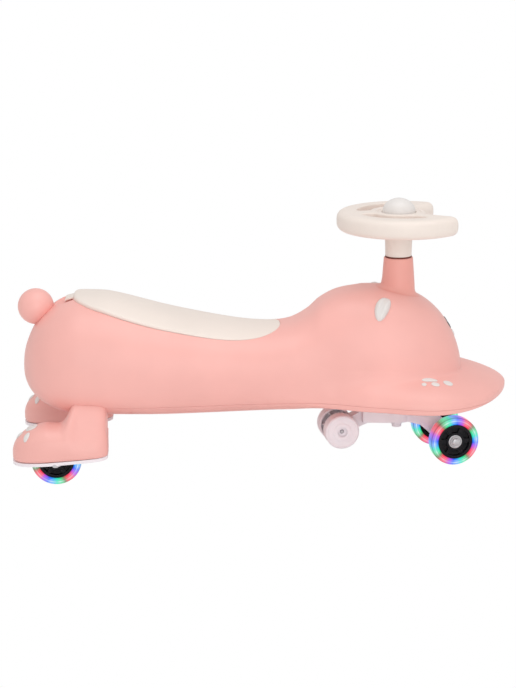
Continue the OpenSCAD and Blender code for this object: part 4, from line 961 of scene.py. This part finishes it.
# Horn button: a tall dome with a lip under the ring
horn = {"r": 26.6, "h": 22, "z": 411, "wall": 2, "lip": 29.8, "lipTop": 407.7, "lipLow": 405.3,
        "pin": 0.2}
hollow, crown = horn["r"] - horn["wall"], horn["z"] + horn["h"]
outerTurns = [math.pi / 2 * i / 24 for i in range(24)]
innerTurns = [math.pi / 2 * i / 16 for i in range(15, -1, -1)]
profile = [(hollow, horn["lipLow"]), (horn["lip"], horn["lipLow"]), (horn["lip"], horn["lipTop"]),
           (horn["r"], horn["lipTop"])]
profile += [(horn["r"] * math.cos(t), horn["z"] + horn["h"] * math.sin(t)) for t in outerTurns]
profile += [(horn["pin"], crown), (horn["pin"], crown - horn["wall"])]
profile += [(hollow * math.cos(t), horn["z"] + (horn["h"] - horn["wall"]) * math.sin(t))
            for t in innerTurns]
dress(spun("hornButton", profile, onColumn, 96, 50), "horn", "white", "horn_button")
ring = {"in": 27.9, "out": 34.95, "low": 408, "high": 411, "round": 0.6}
shoulder = ring["high"] - ring["round"]
profile = [(ring["in"], ring["low"]), (ring["out"], ring["low"]), (ring["out"], shoulder),
           (ring["out"] - ring["round"], ring["high"]), (ring["in"] + ring["round"], ring["high"]),
           (ring["in"], shoulder)]
dress(spun("buttonRing", profile, onColumn, 96, 50), "steering", "cream", "button_ring")
steeringParts = [("collar", "collarSleeve", "cream", 0.8), ("yoke", "yokeArm", "lilac", 1.6),
                 ("cap_nut", "capNut", "lilac", 0.6), ("front_axle", "frontAxle", "steel", 0.4),
                 ("yoke_nuts", "yokeNuts", "steel", 0.4)]
for node, name, slotName, width in steeringParts:
    softened(node, name, "steering", slotName, width)

# The collar reaches almost down to the neck, so that only a thin dark line is left
collar = {"below": 343, "drop": 2.1}
for vertex in bpy.data.objects["collarSleeve"].data.vertices:
    if vertex.co.z < collar["below"] * mm:
        vertex.co.z -= collar["drop"] * mm

# Rollers: a floor in the pocket of each face, with the shiny end of the axle in it
roller = {"mid": (122.9629, -13.7781, 57), "floor": (28.2, 29.2), "hole": 3.6, "pocket": 8.5,
          "end": 30.6, "endR": 2.9, "root": 24, "point": 0.6, "pin": 0.02}
spinAxis = Vector((-0.139173, 0.990268, 0))
onRoller = around(roller["mid"], spinAxis)
axle = softened("roller_axle", "rollerAxle", "steering", "steel", 0.4)
for side, way in (("left", 1), ("right", -1)):
    piece = softened("roller_" + side, "roller" + side.title(), side + "_roller", "lilac")
    low, high = (way * h for h in roller["floor"])
    hole, pocket = roller["hole"], roller["pocket"]
    disc = spun("disc", [(hole, low), (pocket, low), (pocket, high), (hole, high)], onRoller)
    paint(combine(piece, [("UNION", disc)], 32), "lilac")
    root, end, r, pin = way * roller["root"], way * roller["end"], roller["endR"], roller["pin"]
    profile = [(pin, root), (r, root), (r, end - way), (roller["point"] * r, end), (pin, end)]
    stud = spun("stud", profile, onRoller, 48)
    paint(combine(axle, [("UNION", stud)], 32), "steel")
print("steering")

# Light-up wheels
tyre = {"r": 40, "bore": 28.5, "half": 12, "round": 5.75, "inner": 1.2, "rearLead": 0.05}
rearAxis = Vector((0, 1, 0))
wheelPlaces = {
    "front_left": ((293.8435, 67.2927, 40), spinAxis),
    "front_right": ((309.5701, -44.6075, 40), spinAxis),
    "rear_left": ((rearWheel["x"], rearWheel["y"], rearWheel["z"]), rearAxis),
    "rear_right": ((rearWheel["x"], -rearWheel["y"], rearWheel["z"]), rearAxis),
}


def tyreProfile():
    points = []
    spots = [(tyre["r"] - tyre["round"], tyre["half"] - tyre["round"], tyre["round"], 0),
             (tyre["bore"] + tyre["inner"], tyre["half"] - tyre["inner"], tyre["inner"], 90),
             (tyre["bore"] + tyre["inner"], -tyre["half"] + tyre["inner"], tyre["inner"], 180),
             (tyre["r"] - tyre["round"], -tyre["half"] + tyre["round"], tyre["round"], 270)]
    for r0, h0, size, start in spots:
        steps = 10 if size > 3 else 4
        for i in range(steps + 1):
            t = math.radians(start + 90 * i / steps)
            points.append((r0 + size * math.cos(t), h0 + size * math.sin(t)))
    return points


# The first UV value is the angle round the wheel, the second the depth from bore to tread
def ringUv(obj, centre, axis, low, high, lead):
    across = Vector((0, 0, 1))
    ahead = axis.cross(across)
    uv = obj.data.uv_layers.new(name="wheel")
    for poly in obj.data.polygons:
        angles = []
        for k in poly.loop_indices:
            d = Vector(obj.data.vertices[obj.data.loops[k].vertex_index].co) / mm - Vector(centre)
            d -= axis * d.dot(axis)
            angle = math.atan2(d.dot(across), d.dot(ahead)) / math.tau
            angles.append(((angle + lead) % 1.0, (d.length - low) / (high - low)))
        wrap = max(a for a, _ in angles) - min(a for a, _ in angles) > 0.5
        for k, (a, depth) in zip(poly.loop_indices, angles):
            uv.data[k].uv = (a + 1.0 if wrap and a < 0.5 else a, depth)


for name, (centre, axis) in wheelPlaces.items():
    body = name + "_wheel"
    end, side = name.split("_")
    label = end + side.title()
    lead = tyre["rearLead"] if end == "rear" else 0.0
    rubber = spun(label + "Tyre", tyreProfile(), around(centre, axis), 120)
    ringUv(rubber, centre, axis, tyre["bore"], tyre["r"], lead)
    dress(rubber, body, "clear_tyre", name + "_tyre")
    softened(name + "_core", label + "Core", body, "core", 0.5)
    softened(name + "_bearings", label + "Bearings", body, "steel", 0.25)
print("wheels")

# Everything else keeps its CAD shape and gets its finish
slotOf = {row["node"]: row["material_slot"] for row in frame["record"]["subparts"]}
for name, obj in nodes.items():
    for place in obj.material_slots:
        place.material = looks[slotOf[name]]
print("finishes")


# Pale floor and soft light; the camera sees a plain white ground and sky
def plainToCamera(tree, lit, plain, output):
    path = tree.nodes.new("ShaderNodeLightPath")
    either = tree.nodes.new("ShaderNodeMixShader")
    tree.links.new(path.outputs["Is Camera Ray"], either.inputs["Fac"])
    tree.links.new(lit, either.inputs[1])
    tree.links.new(plain, either.inputs[2])
    tree.links.new(either.outputs["Shader"], tree.nodes[output].inputs["Surface"])


stage = {"half": 9000, "floor": (0.95, 0.95, 0.95), "sky": (1, 0.99, 0.98, 1), "skyPower": 0.69,
         "white": (1, 1, 1, 1), "aim": (0, 0, 0.2)}
floorMat, floorTree, floorShader = material("floor", stage["floor"], 0.9)
glow = floorTree.nodes.new("ShaderNodeEmission")
glow.inputs["Color"].default_value = stage["white"]
glow.inputs["Strength"].default_value = 1.0
plainToCamera(floorTree, floorShader.outputs["BSDF"], glow.outputs["Emission"], "Material Output")
half = stage["half"]
corners = [(x * half, y * half, 0) for x, y in ((-1, -1), (1, -1), (1, 1), (-1, 1))]
floor = makeObject("floor", corners, [(0, 1, 2, 3)])
floor.data.materials.append(floorMat)
world = bpy.data.worlds.new("world")
world.use_nodes = True
sky = world.node_tree.nodes["Background"]
sky.inputs["Color"].default_value = stage["sky"]
sky.inputs["Strength"].default_value = stage["skyPower"]
plain = world.node_tree.nodes.new("ShaderNodeBackground")
plain.inputs["Color"].default_value = stage["white"]
plainToCamera(world.node_tree, sky.outputs["Background"], plain.outputs["Background"],
              "World Output")
scene.world = world
lamps = {"top": ((0.2, -0.5, 2.6), 2.4, 20), "front": ((0.3, -2.9, 0.9), 2.4, 18)}
for name, (at, size, power) in lamps.items():
    light = bpy.data.lights.new(name, "AREA")
    light.shape = "DISK"
    light.size = size
    light.energy = power
    lightObj = bpy.data.objects.new(name, light)
    scene.collection.objects.link(lightObj)
    aim = (Vector(stage["aim"]) - Vector(at)).to_track_quat("-Z", "Y")
    lightObj.matrix_world = Matrix.Translation(at) @ aim.to_matrix().to_4x4()
scene.view_settings.view_transform = "Standard"
print("light")
